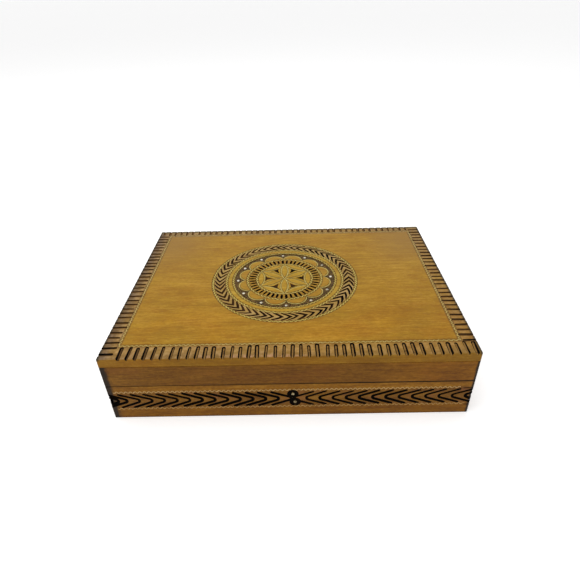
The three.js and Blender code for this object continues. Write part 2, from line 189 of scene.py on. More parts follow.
def finished(tree, shade, roughness, height, height_size, metallic=0, specular=0.25):
    """Ends a material's nodes in its shader, with a relief of height_size"""
    shader = tree.nodes.new("ShaderNodeBsdfPrincipled")
    tree.links.new(shade, shader.inputs["Base Color"])
    tree.links.new(roughness, shader.inputs["Roughness"])
    shader.inputs["Metallic"].default_value = metallic
    shader.inputs["Specular IOR Level"].default_value = specular
    bump = tree.nodes.new("ShaderNodeBump")
    bump.inputs["Strength"].default_value = 1
    bump.inputs["Distance"].default_value = height_size
    tree.links.new(height, bump.inputs["Height"])
    tree.links.new(bump.outputs["Normal"], shader.inputs["Normal"])
    ended(tree, "ShaderNodeOutputMaterial", shader.outputs[0])


# Inside these limits the box is hollow, and its wood was left bare
inside_x = 107.2 * mm
inside_y = 77.2 * mm
inside_top = board_low.z + 0.6 * mm
bare_light = colour(196, 160, 108)
bare_dark = colour(163, 122, 74)
# The grain wanders a little, in bends of some 70 mm. Each of its marks has a length and a width
bends_per_metre = 14
grain_bend = 6 * mm
streak_size = (42 * mm, 2.2 * mm)
fibre_size = (7 * mm, 0.6 * mm)
fleck_size = (2.2 * mm, 1.1 * mm)
patch_size = (34 * mm, 20 * mm)
pore_size = (4.5 * mm, 0.4 * mm)
stain_bleed = 0.3 * mm
varnish_roughness = 0.36
varnish_shine = 0.12
bare_roughness_more = 0.25
grain_relief = 0.05 * mm


def stained_wood(name, along, dark, middle, light, offset, tint):
    """Stained and varnished wood with its grain along x (0) or y (1), bare inside the box.
    offset moves the grain, so that no two woods are alike. tint takes the tree, the place and
    the shade, and returns the shade with its stains"""
    finish, tree, place = new_finish(name)
    shifted = vector_maths(tree, "ADD", place, offset)
    wander = put(tree, "ShaderNodeTexNoise", shifted, bends_per_metre, 2, 0.5, out="Color")
    grain = vector_maths(tree, "ADD", shifted, vector_maths(tree, "MULTIPLY", wander, [grain_bend] * 3))

    streaks = cloud(tree, grain, lengthwise(along, *streak_size), 4, 0.65)
    fibres = cloud(tree, grain, lengthwise(along, *fibre_size), 3, 0.6)
    flecks = cloud(tree, shifted, lengthwise(along, *fleck_size), 2, 0.7)
    patches = cloud(tree, shifted, lengthwise(along, *patch_size), 4, 0.6)
    blend = times(tree, fibres, 0.3)
    for marks, weight in ((streaks, 0.3), (flecks, 0.25), (patches, 0.25)):
        blend = maths(tree, "MULTIPLY_ADD", marks, weight, blend)
    shade = ramp(tree, blend, [(0.44, dark), (0.55, middle), (0.68, light)])
    shade = mixed(tree, times(tree, band(tree, streaks, 0.62, 0.74), 0.35), shade, light)
    in_pore = band(tree, cloud(tree, grain, lengthwise(along, *pore_size), 1, 0.5), 0.66, 0.78)
    shade = mixed(tree, times(tree, in_pore, 0.4), shade, dark)
    shade = tint(tree, place, shade)

    x, y, z = axes(tree, place)
    edge_height = maths(tree, "ADD", z, times(tree, fibres, stain_bleed))
    within = times(tree, maths(tree, "LESS_THAN", maths(tree, "ABSOLUTE", x), inside_x),
                   maths(tree, "LESS_THAN", maths(tree, "ABSOLUTE", y), inside_y),
                   maths(tree, "LESS_THAN", edge_height, inside_top))
    bare = ramp(tree, blend, [(0.42, bare_dark), (0.72, bare_light)])
    shade = mixed(tree, within, shade, bare)

    roughness = maths(tree, "MULTIPLY_ADD", fibres, 0.16, varnish_roughness)
    roughness = maths(tree, "MULTIPLY_ADD", within, bare_roughness_more, roughness)
    relief = maths(tree, "MULTIPLY_ADD", in_pore, -0.6, fibres)
    finished(tree, shade, roughness, relief, grain_relief, specular=varnish_shine)
    return finish


def linked(name, mesh):
    piece = bpy.data.objects.new(name, mesh)
    bpy.context.collection.objects.link(piece)
    return piece


def outward(piece):
    """Merges the piece's doubles and turns its faces outwards"""
    shape = bmesh.new()
    shape.from_mesh(piece.data)
    bmesh.ops.remove_doubles(shape, verts=shape.verts, dist=1e-7)
    bmesh.ops.recalc_face_normals(shape, faces=shape.faces)
    shape.to_mesh(piece.data)
    shape.free()
    return piece


def closed(name, corners, faces, finish=None):
    """A piece from its corners and faces"""
    mesh = bpy.data.meshes.new(name)
    mesh.from_pydata([tuple(corner) for corner in corners], [], faces)
    if finish:
        mesh.materials.append(finish)
    return outward(linked(name, mesh))


def stacked(name, rings, finish=None):
    """A solid through rings of corners, one above the other, closed at both ends"""
    count = len(rings[0])
    corners = [corner for ring in rings for corner in ring]
    faces = [list(range(count))[::-1], [len(corners) - count + i for i in range(count)]]
    for low in range(0, len(corners) - count, count):
        for i in range(count):
            after = (i + 1) % count
            faces.append([low + i, low + after, low + count + after, low + count + i])
    return closed(name, corners, faces, finish)


def looped(name, sections, finish):
    """A closed ring through sections of corners, one beside the other"""
    count = len(sections[0])
    corners = [corner for section in sections for corner in section]
    faces = []
    for i in range(len(sections)):
        here, after = i * count, (i + 1) % len(sections) * count
        faces += [[here + j, here + (j + 1) % count, after + (j + 1) % count, after + j]
                  for j in range(count)]
    return closed(name, corners, faces, finish)


def rounded_plan(half_x, half_y, radius, steps):
    """A rectangle with rounded corners, as corners in turn, anticlockwise from the back right"""
    plan = []
    for quarter in range(4):
        sign_x = 1 if quarter in (0, 3) else -1
        sign_y = 1 if quarter < 2 else -1
        for step in range(steps + 1):
            angle = (quarter + step / steps) * math.pi / 2
            plan.append((sign_x * (half_x - radius) + radius * math.cos(angle),
                         sign_y * (half_y - radius) + radius * math.sin(angle)))
    return plan


def top_blank(name):
    half_x, half_y = board_high.x, board_high.y
    shoulder = board_high.z - arris_radius
    levels = [(foot_ease, board_low.z), (0, board_low.z + foot_ease)]
    for step in range(arris_steps + 1):
        angle = step / arris_steps * math.pi / 2
        levels.append((arris_radius * (1 - math.cos(angle)), shoulder + arris_radius * math.sin(angle)))
    rings = []
    for inset, height in levels:
        plan = rounded_plan(half_x - inset, half_y - inset, corner_radius - inset, corner_steps)
        rings.append([(x, y, height) for x, y in plan])
    return stacked(name, rings)


rosette_centre = Vector((-3.1, 2, 0)) * mm
rosette_radius = 60 * mm
wavy_radii = [53.2 * mm, 43.2 * mm, 38.0 * mm, 27.6 * mm, 20.6 * mm]
# The left, front, right and back of the border's wavy line
border_line = (-104.6 * mm, -72.9 * mm, 104.9 * mm, 76.4 * mm)
# What the stain is multiplied by in each ring of the rosette, from the middle out
ring_shades = [(1.12, 1.25, 1.35, 1), (0.96, 1, 1.2, 1), (1.03, 1.08, 1.3, 1), (1.12, 1.3, 1.8, 1),
               (1.06, 1.28, 5.4, 1), (1, 1, 1, 1)]
# The dark outlines along the wavy lines are painted shade
ring_outline_shade = (0.42, 0.42, 0.36, 1)
outline_reach = 1.05 * mm
outline_end = 1.5 * mm
line_outline_shade = (0.5, 0.48, 0.42, 1)
# What the stain is multiplied by in other places of the top
front_tint = (1.08, 0.97, 0.7, 1)
dark_blotch_tint = (0.93, 0.87, 0.78, 1)
light_blotch_tint = (1.08, 1.12, 1.1, 1)
right_corner_tint = (0.9, 0.87, 0.84, 1)
front_edge_tint = (0.85, 0.86, 0.95, 1)
left_edge_tint = (0.56, 0.58, 0.85, 1)
# Painted shade on the upright edges
upright_shade_tint = (0.76, 0.7, 0.6, 1)
# A painted reflection of the room in the varnish, in the two back corners
back_corner_sheen = colour(148, 111, 50)
border_greys = [(0.35, colour(112, 88, 56)), (0.5, colour(148, 120, 80)), (0.65, colour(186, 154, 108))]
uneven_size = [4 * mm] * 3
border_width, border_fade = 11.5 * mm, 2 * mm
# Pale rubbed wood by the front edge, also a painted highlight along it
rubbed_wood_and_highlight = colour(190, 142, 108)
rubbed_middle = -22 * mm
# Scorch and painted shade together along the side and back edges
edge_scorch_and_shade = colour(40, 40, 26)
back_edge_dull = colour(86, 78, 42)


def multiplied(tree, shade, by, share=1):
    return mixed(tree, share, shade, by, "MULTIPLY")


def upwards(tree, start, end):
    """1 where a face looks up, and 0 where it is steep"""
    facing = put(tree, "ShaderNodeTexCoord", out="Normal")
    return band(tree, put(tree, "ShaderNodeSeparateXYZ", facing, out="Z"), start, end)


def edge_distances(tree, place):
    """How far in a place is from the nearer side, from the back and from the front"""
    x, y, _ = axes(tree, place)
    return (short_of(tree, x, board_high.x), maths(tree, "SUBTRACT", board_high.y, y),
            maths(tree, "ADD", board_high.y, y))


def patchy_stain(tree, place, shade):
    """The stain is more orange towards the front and blotchy, and a painted reflection makes the two back
    corners greyer
    """
    x, y, _ = axes(tree, place)
    patch = cloud(tree, place, [38 * mm, 26 * mm, 26 * mm], 3, 0.55)
    forwards = times(tree, band(tree, y, 10 * mm, -70 * mm), band(tree, patch, 0.35, 0.65), 0.8)
    shade = multiplied(tree, shade, front_tint, forwards)
    blotch = cloud(tree, place, [17 * mm, 8 * mm, 8 * mm], 3, 0.6)
    shade = multiplied(tree, shade, dark_blotch_tint, band(tree, blotch, 0.5, 0.66))
    shade = multiplied(tree, shade, light_blotch_tint, band(tree, blotch, 0.47, 0.32))
    # Painted reflection: a greyer sheen in the two back corners
    sideways = band(tree, maths(tree, "ABSOLUTE", x), 55 * mm, 98 * mm)
    back_sheen_share = times(tree, band(tree, y, 0, 62 * mm), sideways, 0.75)
    return mixed(tree, back_sheen_share, shade, back_corner_sheen)


def border_stain(tree, place, shade):
    """The notched border is greyer, most of all at the left end. It is darker along the front, along the
    left edge and in the right front corner, and the front edge is paler in places, partly rubbed wood and
    partly a painted highlight"""
    x, y, _ = axes(tree, place)
    from_side, from_back, from_front = edge_distances(tree, place)
    from_edge = maths(tree, "MINIMUM", from_side, maths(tree, "MINIMUM", from_back, from_front))
    uneven = cloud(tree, place, uneven_size, 3, 0.65)
    upward = upwards(tree, 0.3, 0.8)
    right_corner = times(tree, band(tree, x, 30 * mm, 95 * mm), band(tree, y, 0, -60 * mm), upward)
    shade = multiplied(tree, shade, right_corner_tint, right_corner)
    ragged = maths(tree, "MULTIPLY_ADD", uneven, 3 * mm, from_edge)
    on_border = band(tree, ragged, border_width + border_fade, border_width)
    greyer = times(tree, on_border, upward, graded(tree, x, -60 * mm, 60 * mm, 0.58, 0.36))
    shade = mixed(tree, greyer, shade, ramp(tree, uneven, border_greys))
    near_front = times(tree, band(tree, from_front, 7 * mm, 1 * mm), upward)
    shade = multiplied(tree, shade, front_edge_tint, near_front)
    near_left = times(tree, band(tree, from_side, 9 * mm, 3 * mm), maths(tree, "LESS_THAN", x, 0), upward)
    shade = multiplied(tree, shade, left_edge_tint, near_left)
    # Pale patches by the front edge: rubbed wood and a painted highlight
    rubbed = times(tree, band(tree, from_front, 3.4 * mm, 0.6 * mm), band(tree, uneven, 0.4, 0.62),
                   upward, band(tree, apart(tree, x, rubbed_middle), 40 * mm, 20 * mm), 0.7)
    return mixed(tree, rubbed, shade, rubbed_wood_and_highlight)


def edge_stain(tree, place, shade):
    """The upright edges are darker than the top, a painted shade. The side and back edges are scorched, with
    painted shade in the scorch, and the top is dull beside the back edge"""
    _, _, z = axes(tree, place)
    from_side, from_back, _ = edge_distances(tree, place)
    uneven = cloud(tree, place, uneven_size, 3, 0.65)
    upward = upwards(tree, 0.3, 0.8)
    # Painted shade: the upright faces darker than the top
    shade = multiplied(tree, shade, upright_shade_tint, maths(tree, "SUBTRACT", 1, upward))
    # The dark band along the side and back edges is partly scorch and partly painted shade
    inward = maths(tree, "MULTIPLY_ADD", uneven, -1.6 * mm, maths(tree, "MINIMUM", from_side, from_back))
    down = maths(tree, "MULTIPLY_ADD", uneven, -1.2 * mm, maths(tree, "SUBTRACT", board_high.z, z))
    scorch = times(tree, band(tree, inward, 1.9 * mm, -0.1 * mm), band(tree, down, 1.3 * mm, 0), 0.88)
    shade = mixed(tree, scorch, shade, edge_scorch_and_shade)
    dull = times(tree, band(tree, from_back, 6 * mm, 1.5 * mm), upward, 0.72)
    return mixed(tree, dull, shade, back_edge_dull)


def ring_stain(tree, place, shade):
    """Each ring of the rosette has its own stain, and a dark outline of painted shade along its wavy line"""
    away = vector_maths(tree, "SUBTRACT", place, (*rosette_centre[:2], board_high.z))
    radius = put(tree, "ShaderNodeVectorMath", away, operation="LENGTH", out="Value")
    stops = [(0, ring_shades[0])]
    for ring, inner, outer in zip(sorted(wavy_radii), ring_shades, ring_shades[1:]):
        stops += [(ring - outline_end, inner), (ring - outline_reach, ring_outline_shade),
                  (ring + outline_reach, ring_outline_shade), (ring + outline_end, outer)]
    stops = [(stop / rosette_radius, stop_shade) for stop, stop_shade in stops]
    return multiplied(tree, shade, ramp(tree, maths(tree, "DIVIDE", radius, rosette_radius), stops))


def beyond(tree, value, low, high):
    """How far a value is past the range from low to high, and less than 0 within it"""
    return maths(tree, "SUBTRACT", apart(tree, value, (low + high) / 2), (high - low) / 2)


def line_stain(tree, place, shade):
    """A dark outline of painted shade along the border's wavy line"""
    left, front, right, back = border_line
    x, y, _ = axes(tree, place)
    past = maths(tree, "MAXIMUM", beyond(tree, x, left, right), beyond(tree, y, front, back))
    near_line = band(tree, maths(tree, "ABSOLUTE", past), 1.8 * mm, 1.1 * mm)
    return multiplied(tree, shade, line_outline_shade, times(tree, near_line, 0.75))


def top_tint(tree, place, shade):
    """All the stains of the top board, one over the other"""
    for stain in (patchy_stain, border_stain, edge_stain, ring_stain, line_stain):
        shade = stain(tree, place, shade)
    return shade


top_wood = stained_wood("ochre_stained_wood", 0, colour(146, 105, 22), colour(162, 119, 27),
                        colour(186, 142, 48), (0.31, 0.17, 0.05), top_tint)
top_board = top_blank("carved_top_board")
top_board.data.materials.append(top_wood)


# The lid's carving. Gouge cuts round the border and V cuts in the rosette are burnt in with a
# hot iron. The fine wavy lines, rocked along with a gouge, and the petals' lines are cut last,
# through the stain, and show light wood. The ground of the rosette is sunk and stippled.
notch_pitch = 5.15 * mm
notch_floor = 0.36
notch_inner_depth = 0.5 * mm
notch_group = 6
notch_group_gap = 0.76 * mm
notch_end_steps = 8
notch_flare = 0.3
mouth_lift = 0.02 * mm
# The rows at the front, right, back and left, which start and stop clear of the corners
notch_rows = [
    {"reach": 10.6 * mm, "start": 13.2 * mm, "stop": 3.3 * mm, "width": 2.5 * mm, "depth": 1.4 * mm},
    {"reach": 9.3 * mm, "start": 11.9 * mm, "stop": 6.4 * mm, "width": 2.2 * mm, "depth": 0.9 * mm},
    {"reach": 8 * mm, "start": 11.8 * mm, "stop": 3.6 * mm, "width": 2 * mm, "depth": 0.6 * mm},
    {"reach": 9.6 * mm, "start": 10.4 * mm, "stop": 4.3 * mm, "width": 2.2 * mm, "depth": 0.9 * mm},
]

# A groove is given by its width, its depth and the share of both that is left at its ends
petal_radius = 20.3 * mm
petal_line = (1.35 * mm, 0.48 * mm, 0.5)
petal_steps = 16
linking_steps = 9
upright_slope = 0.6
side_petal_share = 0.68
scallop_line = (1.3 * mm, 0.42 * mm, 0.6)
scallop_share = 0.985
scallop_steps = 12
pit_reach = (8 * mm, 14.3 * mm)
pit_spread = math.radians(17)
pit_depth = 1 * mm
pit_waist_share = 0.3
pit_waist_angle = math.radians(72)
pit_middle_share = 0.6
tick_count = 46
tick_reach = (21.5 * mm, 26.5 * mm)
tick_cut = (1.95 * mm, 0.85 * mm, 0.6)
lobe_count = 12
lobe_cusp_radius = 29.5 * mm
lobe_top_radius = 35 * mm
lobe_turn = math.radians(2.7)
ground_radius = 37.5 * mm
ground_depth = 0.4 * mm
ground_steps = 10
herringbone_count = 55
# From the outside in, each corner's radius and how far along the sweep it lies
herringbone_line = [(51.9 * mm, 1), (50.2 * mm, 0.42), (48.3 * mm, 0), (46.2 * mm, 0.42), (44.4 * mm, 1)]
herringbone_sweep = math.radians(7.8)
herringbone_cut = (1.65 * mm, 0.8 * mm, 0.55)
wave_pitch = 2.9 * mm
wave_swing = 0.42 * mm
wave_cut = (0.75 * mm, 0.32 * mm)
samples_per_wave = 6
circle_steps = 240
stipple_gap = 1.25 * mm
stipple_radius = 0.42 * mm
stipple_depth = 0.3 * mm
stipple_sides = 6
stipple_sizes = (0.7, 1.25)
stipple_crowd = 4
# How far the cutters stand above the face
stroke_lift = 0.4 * mm
fine_lift = 0.1 * mm
wave_lift = 0.06 * mm
notch_lift = 1.2 * mm
ground_lift = 0.3 * mm
# At a sharp bend a groove is widened by no more than one over this
mitre_limit = 0.4
# How far apart the lines are that slice a board before it is carved
slice_step = 9 * mm

soot = [(0.4, colour(4, 2, 1)), (0.62, colour(12, 7, 3)), (0.8, colour(44, 26, 12))]
char_patch = colour(56, 34, 16)
pale_char = colour(104, 72, 40)
floor_patch = colour(92, 66, 38)
hot_floor = colour(84, 60, 34)


def burnt_wood(name, floor_shade, paler=0, along="X", hot=30 * mm, cool=-50 * mm):
    """Wood scorched black on the steep sides of a cut and brown on its flat floor. The iron cools
    along an axis from the place hot, where the floor is dark, to the place cool, where it is
    floor_shade. There and in patches the sides are paler, by the share paler"""
    finish, tree, place = new_finish(name)
    uneven = cloud(tree, place, [2.2 * mm] * 3, 3, 0.65)
    large = cloud(tree, place, [22 * mm] * 3, 2, 0.5)
    cooler = band(tree, put(tree, "ShaderNodeSeparateXYZ", place, out=along), hot, cool)
    char = ramp(tree, uneven, soot)
    char = mixed(tree, times(tree, band(tree, large, 0.55, 0.75), 0.2), char, char_patch)
    pale = times(tree, maths(tree, "ADD", cooler, band(tree, large, 0.45, 0.65)), paler)
    char = mixed(tree, pale, char, pale_char)
    floor = mixed(tree, band(tree, uneven, 0.5, 0.75), floor_shade, floor_patch)
    floor = mixed(tree, cooler, hot_floor, floor)
    shade = mixed(tree, upwards(tree, 0.9, 0.97), char, floor)
    roughness = maths(tree, "MULTIPLY_ADD", uneven, 0.2, 0.6)
    finished(tree, shade, roughness, uneven, height_size=0.08 * mm, specular=0.03)
    return finish


burnt = burnt_wood("burnt_wood", colour(146, 110, 60), hot=-100 * mm, cool=-45 * mm)
browned = burnt_wood("browned_wood", colour(126, 88, 44), paler=0.24)
pale_burnt = burnt_wood("pale_burnt_wood", colour(122, 88, 46), paler=0.24, along="Y",
                        hot=-78 * mm, cool=-58 * mm)
# The box lies above the place hot, so its pits are burnt alike
pit_burnt = burnt_wood("lightly_burnt_wood", hot_floor, paler=0.6, along="Z", hot=0, cool=-1)


def cut_wood(name, dark, light, rim, rim_depth):
    """Fresh wood cut through the stain, with a dark rim of painted shade down to rim_depth below the face"""
    finish, tree, place = new_finish(name)
    uneven = cloud(tree, place, [1.6 * mm] * 3, 2, 0.6)
    shade = ramp(tree, uneven, [(0.35, dark), (0.65, light)])
    x, y, z = axes(tree, place)
    depth = maths(tree, "SUBTRACT", board_high.z, z)
    for edge, distance in ((board_high.x, x), (board_high.y, y)):
        depth = maths(tree, "MINIMUM", depth, short_of(tree, distance, edge))
    # Painted shade: the dark rim on the upper sides of the cut
    shade = mixed(tree, band(tree, depth, rim_depth * 1.2, rim_depth * 0.8), shade, rim)
    roughness = maths(tree, "MULTIPLY_ADD", uneven, 0.2, 0.45)
    finished(tree, shade, roughness, uneven, height_size=0.03 * mm, specular=0.12)
    return finish


fresh_cut = cut_wood("fresh_cut_wood", colour(180, 156, 78), colour(214, 194, 116),
                     colour(66, 50, 22), 0.2 * mm)
wavy_fresh = cut_wood("fresh_wavy_cut", colour(190, 164, 74), colour(224, 202, 112),
                      colour(96, 80, 36), 0.05 * mm)
border_fresh = cut_wood("rubbed_wavy_cut", colour(178, 150, 78), colour(208, 182, 112),
                        colour(92, 76, 38), 0.05 * mm)
ground_stain = cut_wood("dark_ground", colour(62, 46, 20), colour(114, 87, 42),
                        colour(60, 46, 30), 0.1 * mm)


def polar(radius, angle):
    return Vector((radius * math.cos(angle), radius * math.sin(angle)))


def arc(centre, radius, start, end, steps):
    return [centre + polar(radius, start + (end - start) * i / steps) for i in range(steps + 1)]


def vee_stroke(name, points, cut, sizes=None, lift=stroke_lift):
    """A V groove's cutter along points of the face. sizes, where given, scale it at each point"""
    width, depth, end_share = cut
    corners = []
    for i, point in enumerate(points):
        before, after = points[max(i - 1, 0)], points[min(i + 1, len(points) - 1)]
        along = (after - before).normalized()
        leg = ((point - before) if i else (after - point)).normalized()
        share = (sizes[i] if sizes else 1) * (end_share if i in (0, len(points) - 1) else 1)
        half = width / 2 / depth * (depth * share + lift) / max(leg.dot(along), mitre_limit)
        side = Vector((-along.y, along.x)) * half
        corners += [(*(point + side), lift), (*(point - side), lift), (*point, -depth * share)]
    faces = [[0, 2, 1], [len(corners) - 3, len(corners) - 2, len(corners) - 1]]
    for a in range(0, len(corners) - 3, 3):
        faces += [[a, a + 1, a + 4, a + 3], [a + 1, a + 2, a + 5, a + 4], [a + 2, a, a + 3, a + 5]]
    return closed(name, corners, faces)


def new_tree(name, inputs):
    """A Geometry Nodes tree with named inputs, each a label and a kind of socket. Gives the tree,
    the inputs' sockets within it, and the key that a modifier sets each of them by"""
    tree = bpy.data.node_groups.new(name, "GeometryNodeTree")
    tree.interface.new_socket("Geometry", in_out="OUTPUT", socket_type="NodeSocketGeometry")
    tree.interface.new_socket("Geometry", in_out="INPUT", socket_type="NodeSocketGeometry")
    keys = {}
    for label, kind in inputs:
        socket = tree.interface.new_socket(label, in_out="INPUT", socket_type="NodeSocket" + kind)
        keys[label] = socket.identifier
    given = tree.nodes.new("NodeGroupInput")
    return tree, given.outputs, keys


def end_tree(tree, geometry, finish):
    """Ends a tree in Realize Instances and Set Material"""
    real = put(tree, "GeometryNodeRealizeInstances", geometry)
    ended(tree, "NodeGroupOutput", put(tree, "GeometryNodeSetMaterial", real, None, finish))


def vector_of(tree, x, y, z):
    return put(tree, "ShaderNodeCombineXYZ", x, y, z)


def wobble(tree, amount, seed, shift):
    """A random number between -amount and amount for each copy"""
    low = times(tree, amount, -1)
    seed = maths(tree, "ADD", seed, shift)
    return put(tree, "FunctionNodeRandomValue", low, amount, put(tree, "GeometryNodeInputIndex"), seed)


def repeat_tree():
    """Copies of one cut or fitting in a row or round a ring, each a little different"""
    tree, given, keys = new_tree("repeat_in_row_or_ring", [
        ("Count", "Int"), ("Start", "Vector"), ("Step", "Vector"), ("Group", "Int"),
        ("Group gap", "Vector"), ("First turn", "Float"), ("Turn", "Float"), ("Size wobble", "Float"),
        ("Turn wobble", "Float"), ("Depth wobble", "Float"), ("Seed", "Int"), ("Finish", "Material")])
    index = put(tree, "GeometryNodeInputIndex")
    points = put(tree, "GeometryNodePoints", given["Count"])
    steps = vector_maths(tree, "MULTIPLY", given["Step"], index)
    place = vector_maths(tree, "ADD", given["Start"], steps)
    groups = maths(tree, "FLOOR", maths(tree, "DIVIDE", index, given["Group"]))
    gaps = vector_maths(tree, "MULTIPLY", given["Group gap"], groups)
    place = vector_maths(tree, "ADD", place, gaps)
    sink = vector_of(tree, 0, 0, wobble(tree, given["Depth wobble"], given["Seed"], 0))
    place = vector_maths(tree, "ADD", place, sink)
    placed = put(tree, "GeometryNodeSetPosition", points, None, place)
    turn = maths(tree, "MULTIPLY_ADD", index, given["Turn"], given["First turn"])
    turn = maths(tree, "ADD", turn, wobble(tree, given["Turn wobble"], given["Seed"], 1))
    rotation = put(tree, "FunctionNodeEulerToRotation", vector_of(tree, 0, 0, turn))
    wide = maths(tree, "ADD", 1, wobble(tree, given["Size wobble"], given["Seed"], 2))
    longer = wobble(tree, given["Size wobble"], given["Seed"], 3)
    long = maths(tree, "ADD", 1, times(tree, longer, 0.5))
    size = vector_of(tree, wide, long, 1)
    copies = put(tree, "GeometryNodeInstanceOnPoints", placed, None, given["Geometry"], None, None,
                 rotation, size)
    end_tree(tree, copies, given["Finish"])
    return tree, keys


def made_by(tree_and_keys, piece, values):
    """Gives the piece what the tree makes of it, as a plain mesh"""
    tree, keys = tree_and_keys
    maker = piece.modifiers.new(tree.name, "NODES")
    maker.node_group = tree
    for label, value in values.items():
        maker[keys[label]] = value
    return settled(piece)


def settled(piece):
    """The piece with what its modifiers do in its mesh, and no modifiers"""
    bpy.context.view_layer.update()
    seen = piece.evaluated_get(bpy.context.evaluated_depsgraph_get())
    mesh = bpy.data.meshes.new_from_object(seen)
    piece.modifiers.clear()
    piece.data = mesh
    return piece


repeat = repeat_tree()
# A group that no row fills
no_group = 1000


def repeated(piece, finish, count, start=(0, 0, 0), step=(0, 0, 0), group=no_group,
             group_gap=(0, 0, 0), first_turn=0, turn=0, size_wobble=0, turn_wobble=0, depth_wobble=0,
             seed=1):
    """Copies of the piece. After each group of them comes a gap, and every copy gets the finish"""
    return made_by(repeat, piece, {
        "Count": count, "Start": start, "Step": step, "Group": group, "Group gap": group_gap,
        "First turn": first_turn, "Turn": turn,
        "Size wobble": size_wobble, "Turn wobble": turn_wobble, "Depth wobble": depth_wobble,
        "Seed": seed, "Finish": finish})


def wavy_tree():
    """A wavy V groove's cutter along a line drawn on the face"""
    tree, given, keys = new_tree("rocked_wavy_line", [
        ("Wave", "Float"), ("Swing", "Float"), ("Width", "Float"), ("Depth", "Float"),
        ("Lift", "Float"), ("Finish", "Material")])
    line = put(tree, "GeometryNodeMeshToCurve", given["Geometry"])
    length = put(tree, "GeometryNodeCurveLength", line)
    waves = maths(tree, "ROUND", maths(tree, "DIVIDE", length, given["Wave"]))
    fine = put(tree, "GeometryNodeResampleCurve", line, None, times(tree, waves, samples_per_wave))
    along = put(tree, "GeometryNodeInputTangent")
    aside = vector_maths(tree, "CROSS_PRODUCT", along, (0, 0, 1))
    phase = times(tree, put(tree, "GeometryNodeSplineParameter", out="Length"), 2 * math.pi,
                  maths(tree, "DIVIDE", waves, length))
    swing = times(tree, maths(tree, "SINE", phase), given["Swing"])
    shift = vector_maths(tree, "MULTIPLY", aside, vector_of(tree, swing, swing, 0))
    waved = put(tree, "GeometryNodeSetPosition", fine, None, None, shift)
    waved = put(tree, "GeometryNodeSetCurveNormal", waved, mode="Z_UP")

    reach = maths(tree, "ADD", given["Depth"], given["Lift"])
    half = times(tree, maths(tree, "DIVIDE", given["Width"], given["Depth"]), reach, 0.5)
    corner = put(tree, "GeometryNodeInputIndex")
    is_low = put(tree, "FunctionNodeCompare", corner, 2, data_type="INT", operation="EQUAL")
    is_left = put(tree, "FunctionNodeCompare", corner, 0, data_type="INT", operation="EQUAL")
    side = put(tree, "GeometryNodeSwitch", is_left, half, times(tree, half, -1), input_type="FLOAT")
    low = vector_of(tree, 0, times(tree, given["Depth"], -1), 0)
    corner_place = put(tree, "GeometryNodeSwitch", is_low, vector_of(tree, side, given["Lift"], 0), low,
                       input_type="VECTOR")
    section = put(tree, "GeometryNodeCurvePrimitiveCircle", 3)
    section = put(tree, "GeometryNodeSetPosition", section, None, corner_place)
    groove = put(tree, "GeometryNodeCurveToMesh", waved, section, None, True)
    end_tree(tree, groove, given["Finish"])
    return tree, keys


wavy = wavy_tree()


def wavy_cut(name, lines, finish, cut, pitch=wave_pitch, swing=wave_swing):
    """A cutter for wavy lines, each given by its points, and closed where its ends meet"""
    mesh = bpy.data.meshes.new(name)
    corners, edges = [], []
    for points in lines:
        first = len(corners)
        ring = (points[0] - points[-1]).length < 1e-6
        points = points[:-1] if ring else points
        corners += [(*point, 0) for point in points]
        edges += [(first + i, first + i + 1) for i in range(len(points) - 1)]
        if ring:
            edges.append((len(corners) - 1, first))
    mesh.from_pydata(corners, edges, [])
    cutter = made_by(wavy, linked(name, mesh), {
        "Wave": pitch, "Swing": swing, "Width": cut[0], "Depth": cut[1], "Lift": wave_lift,
        "Finish": finish})
    return outward(cutter)


def moved(piece, matrix):
    """Moves the piece's mesh, so that its object stays at the origin"""
    piece.data.transform(matrix)
    return piece


def joined(name, pieces):
    """Several pieces as one mesh, keeping their finishes"""
    finishes = []
    shape = bmesh.new()
    for piece in pieces:
        first = len(shape.faces)
        shape.from_mesh(piece.data)
        shape.faces.ensure_lookup_table()
        own = list(piece.data.materials)
        for face in shape.faces[first:]:
            finish = own[face.material_index] if own else None
            if finish not in finishes:
                finishes.append(finish)
            face.material_index = finishes.index(finish)
        bpy.data.objects.remove(piece)
    mesh = bpy.data.meshes.new(name)
    shape.to_mesh(mesh)
    shape.free()
    for finish in finishes:
        mesh.materials.append(finish)
    return linked(name, mesh)


def sliced(board):
    """Lines across the board's faces, so that no face is left with too many corners by the carving"""
    shape = bmesh.new()
    shape.from_mesh(board.data)
    for axis in range(3):
        normal = [1 if i == axis else 0 for i in range(3)]
        places = [vert.co[axis] for vert in shape.verts]
        low, high = min(places), max(places)
        for i in range(1, math.ceil((high - low) / slice_step)):
            through = [low + i * slice_step if j == axis else 0 for j in range(3)]
            bmesh.ops.bisect_plane(shape, geom=[*shape.verts, *shape.edges, *shape.faces], dist=1e-8,
                                   plane_co=through, plane_no=normal)
    shape.to_mesh(board.data)
    shape.free()


def combined(piece, others, operation, **settings):
    """Adds the others to the piece (UNION) or takes them out of it (DIFFERENCE)"""
    for other in others:
        step = piece.modifiers.new(other.name, "BOOLEAN")
        step.operation = operation
        step.solver = "MANIFOLD"
        step.object = other
        for setting, value in settings.items():
            setattr(step, setting, value)
    settled(piece)
    for other in others:
        bpy.data.objects.remove(other)
    return piece


def carve(board, cutters):
    """Takes each cutter out of the board. The new faces keep the cutter's finish"""
    sliced(board)
    return combined(board, cutters, "DIFFERENCE", material_mode="TRANSFER")


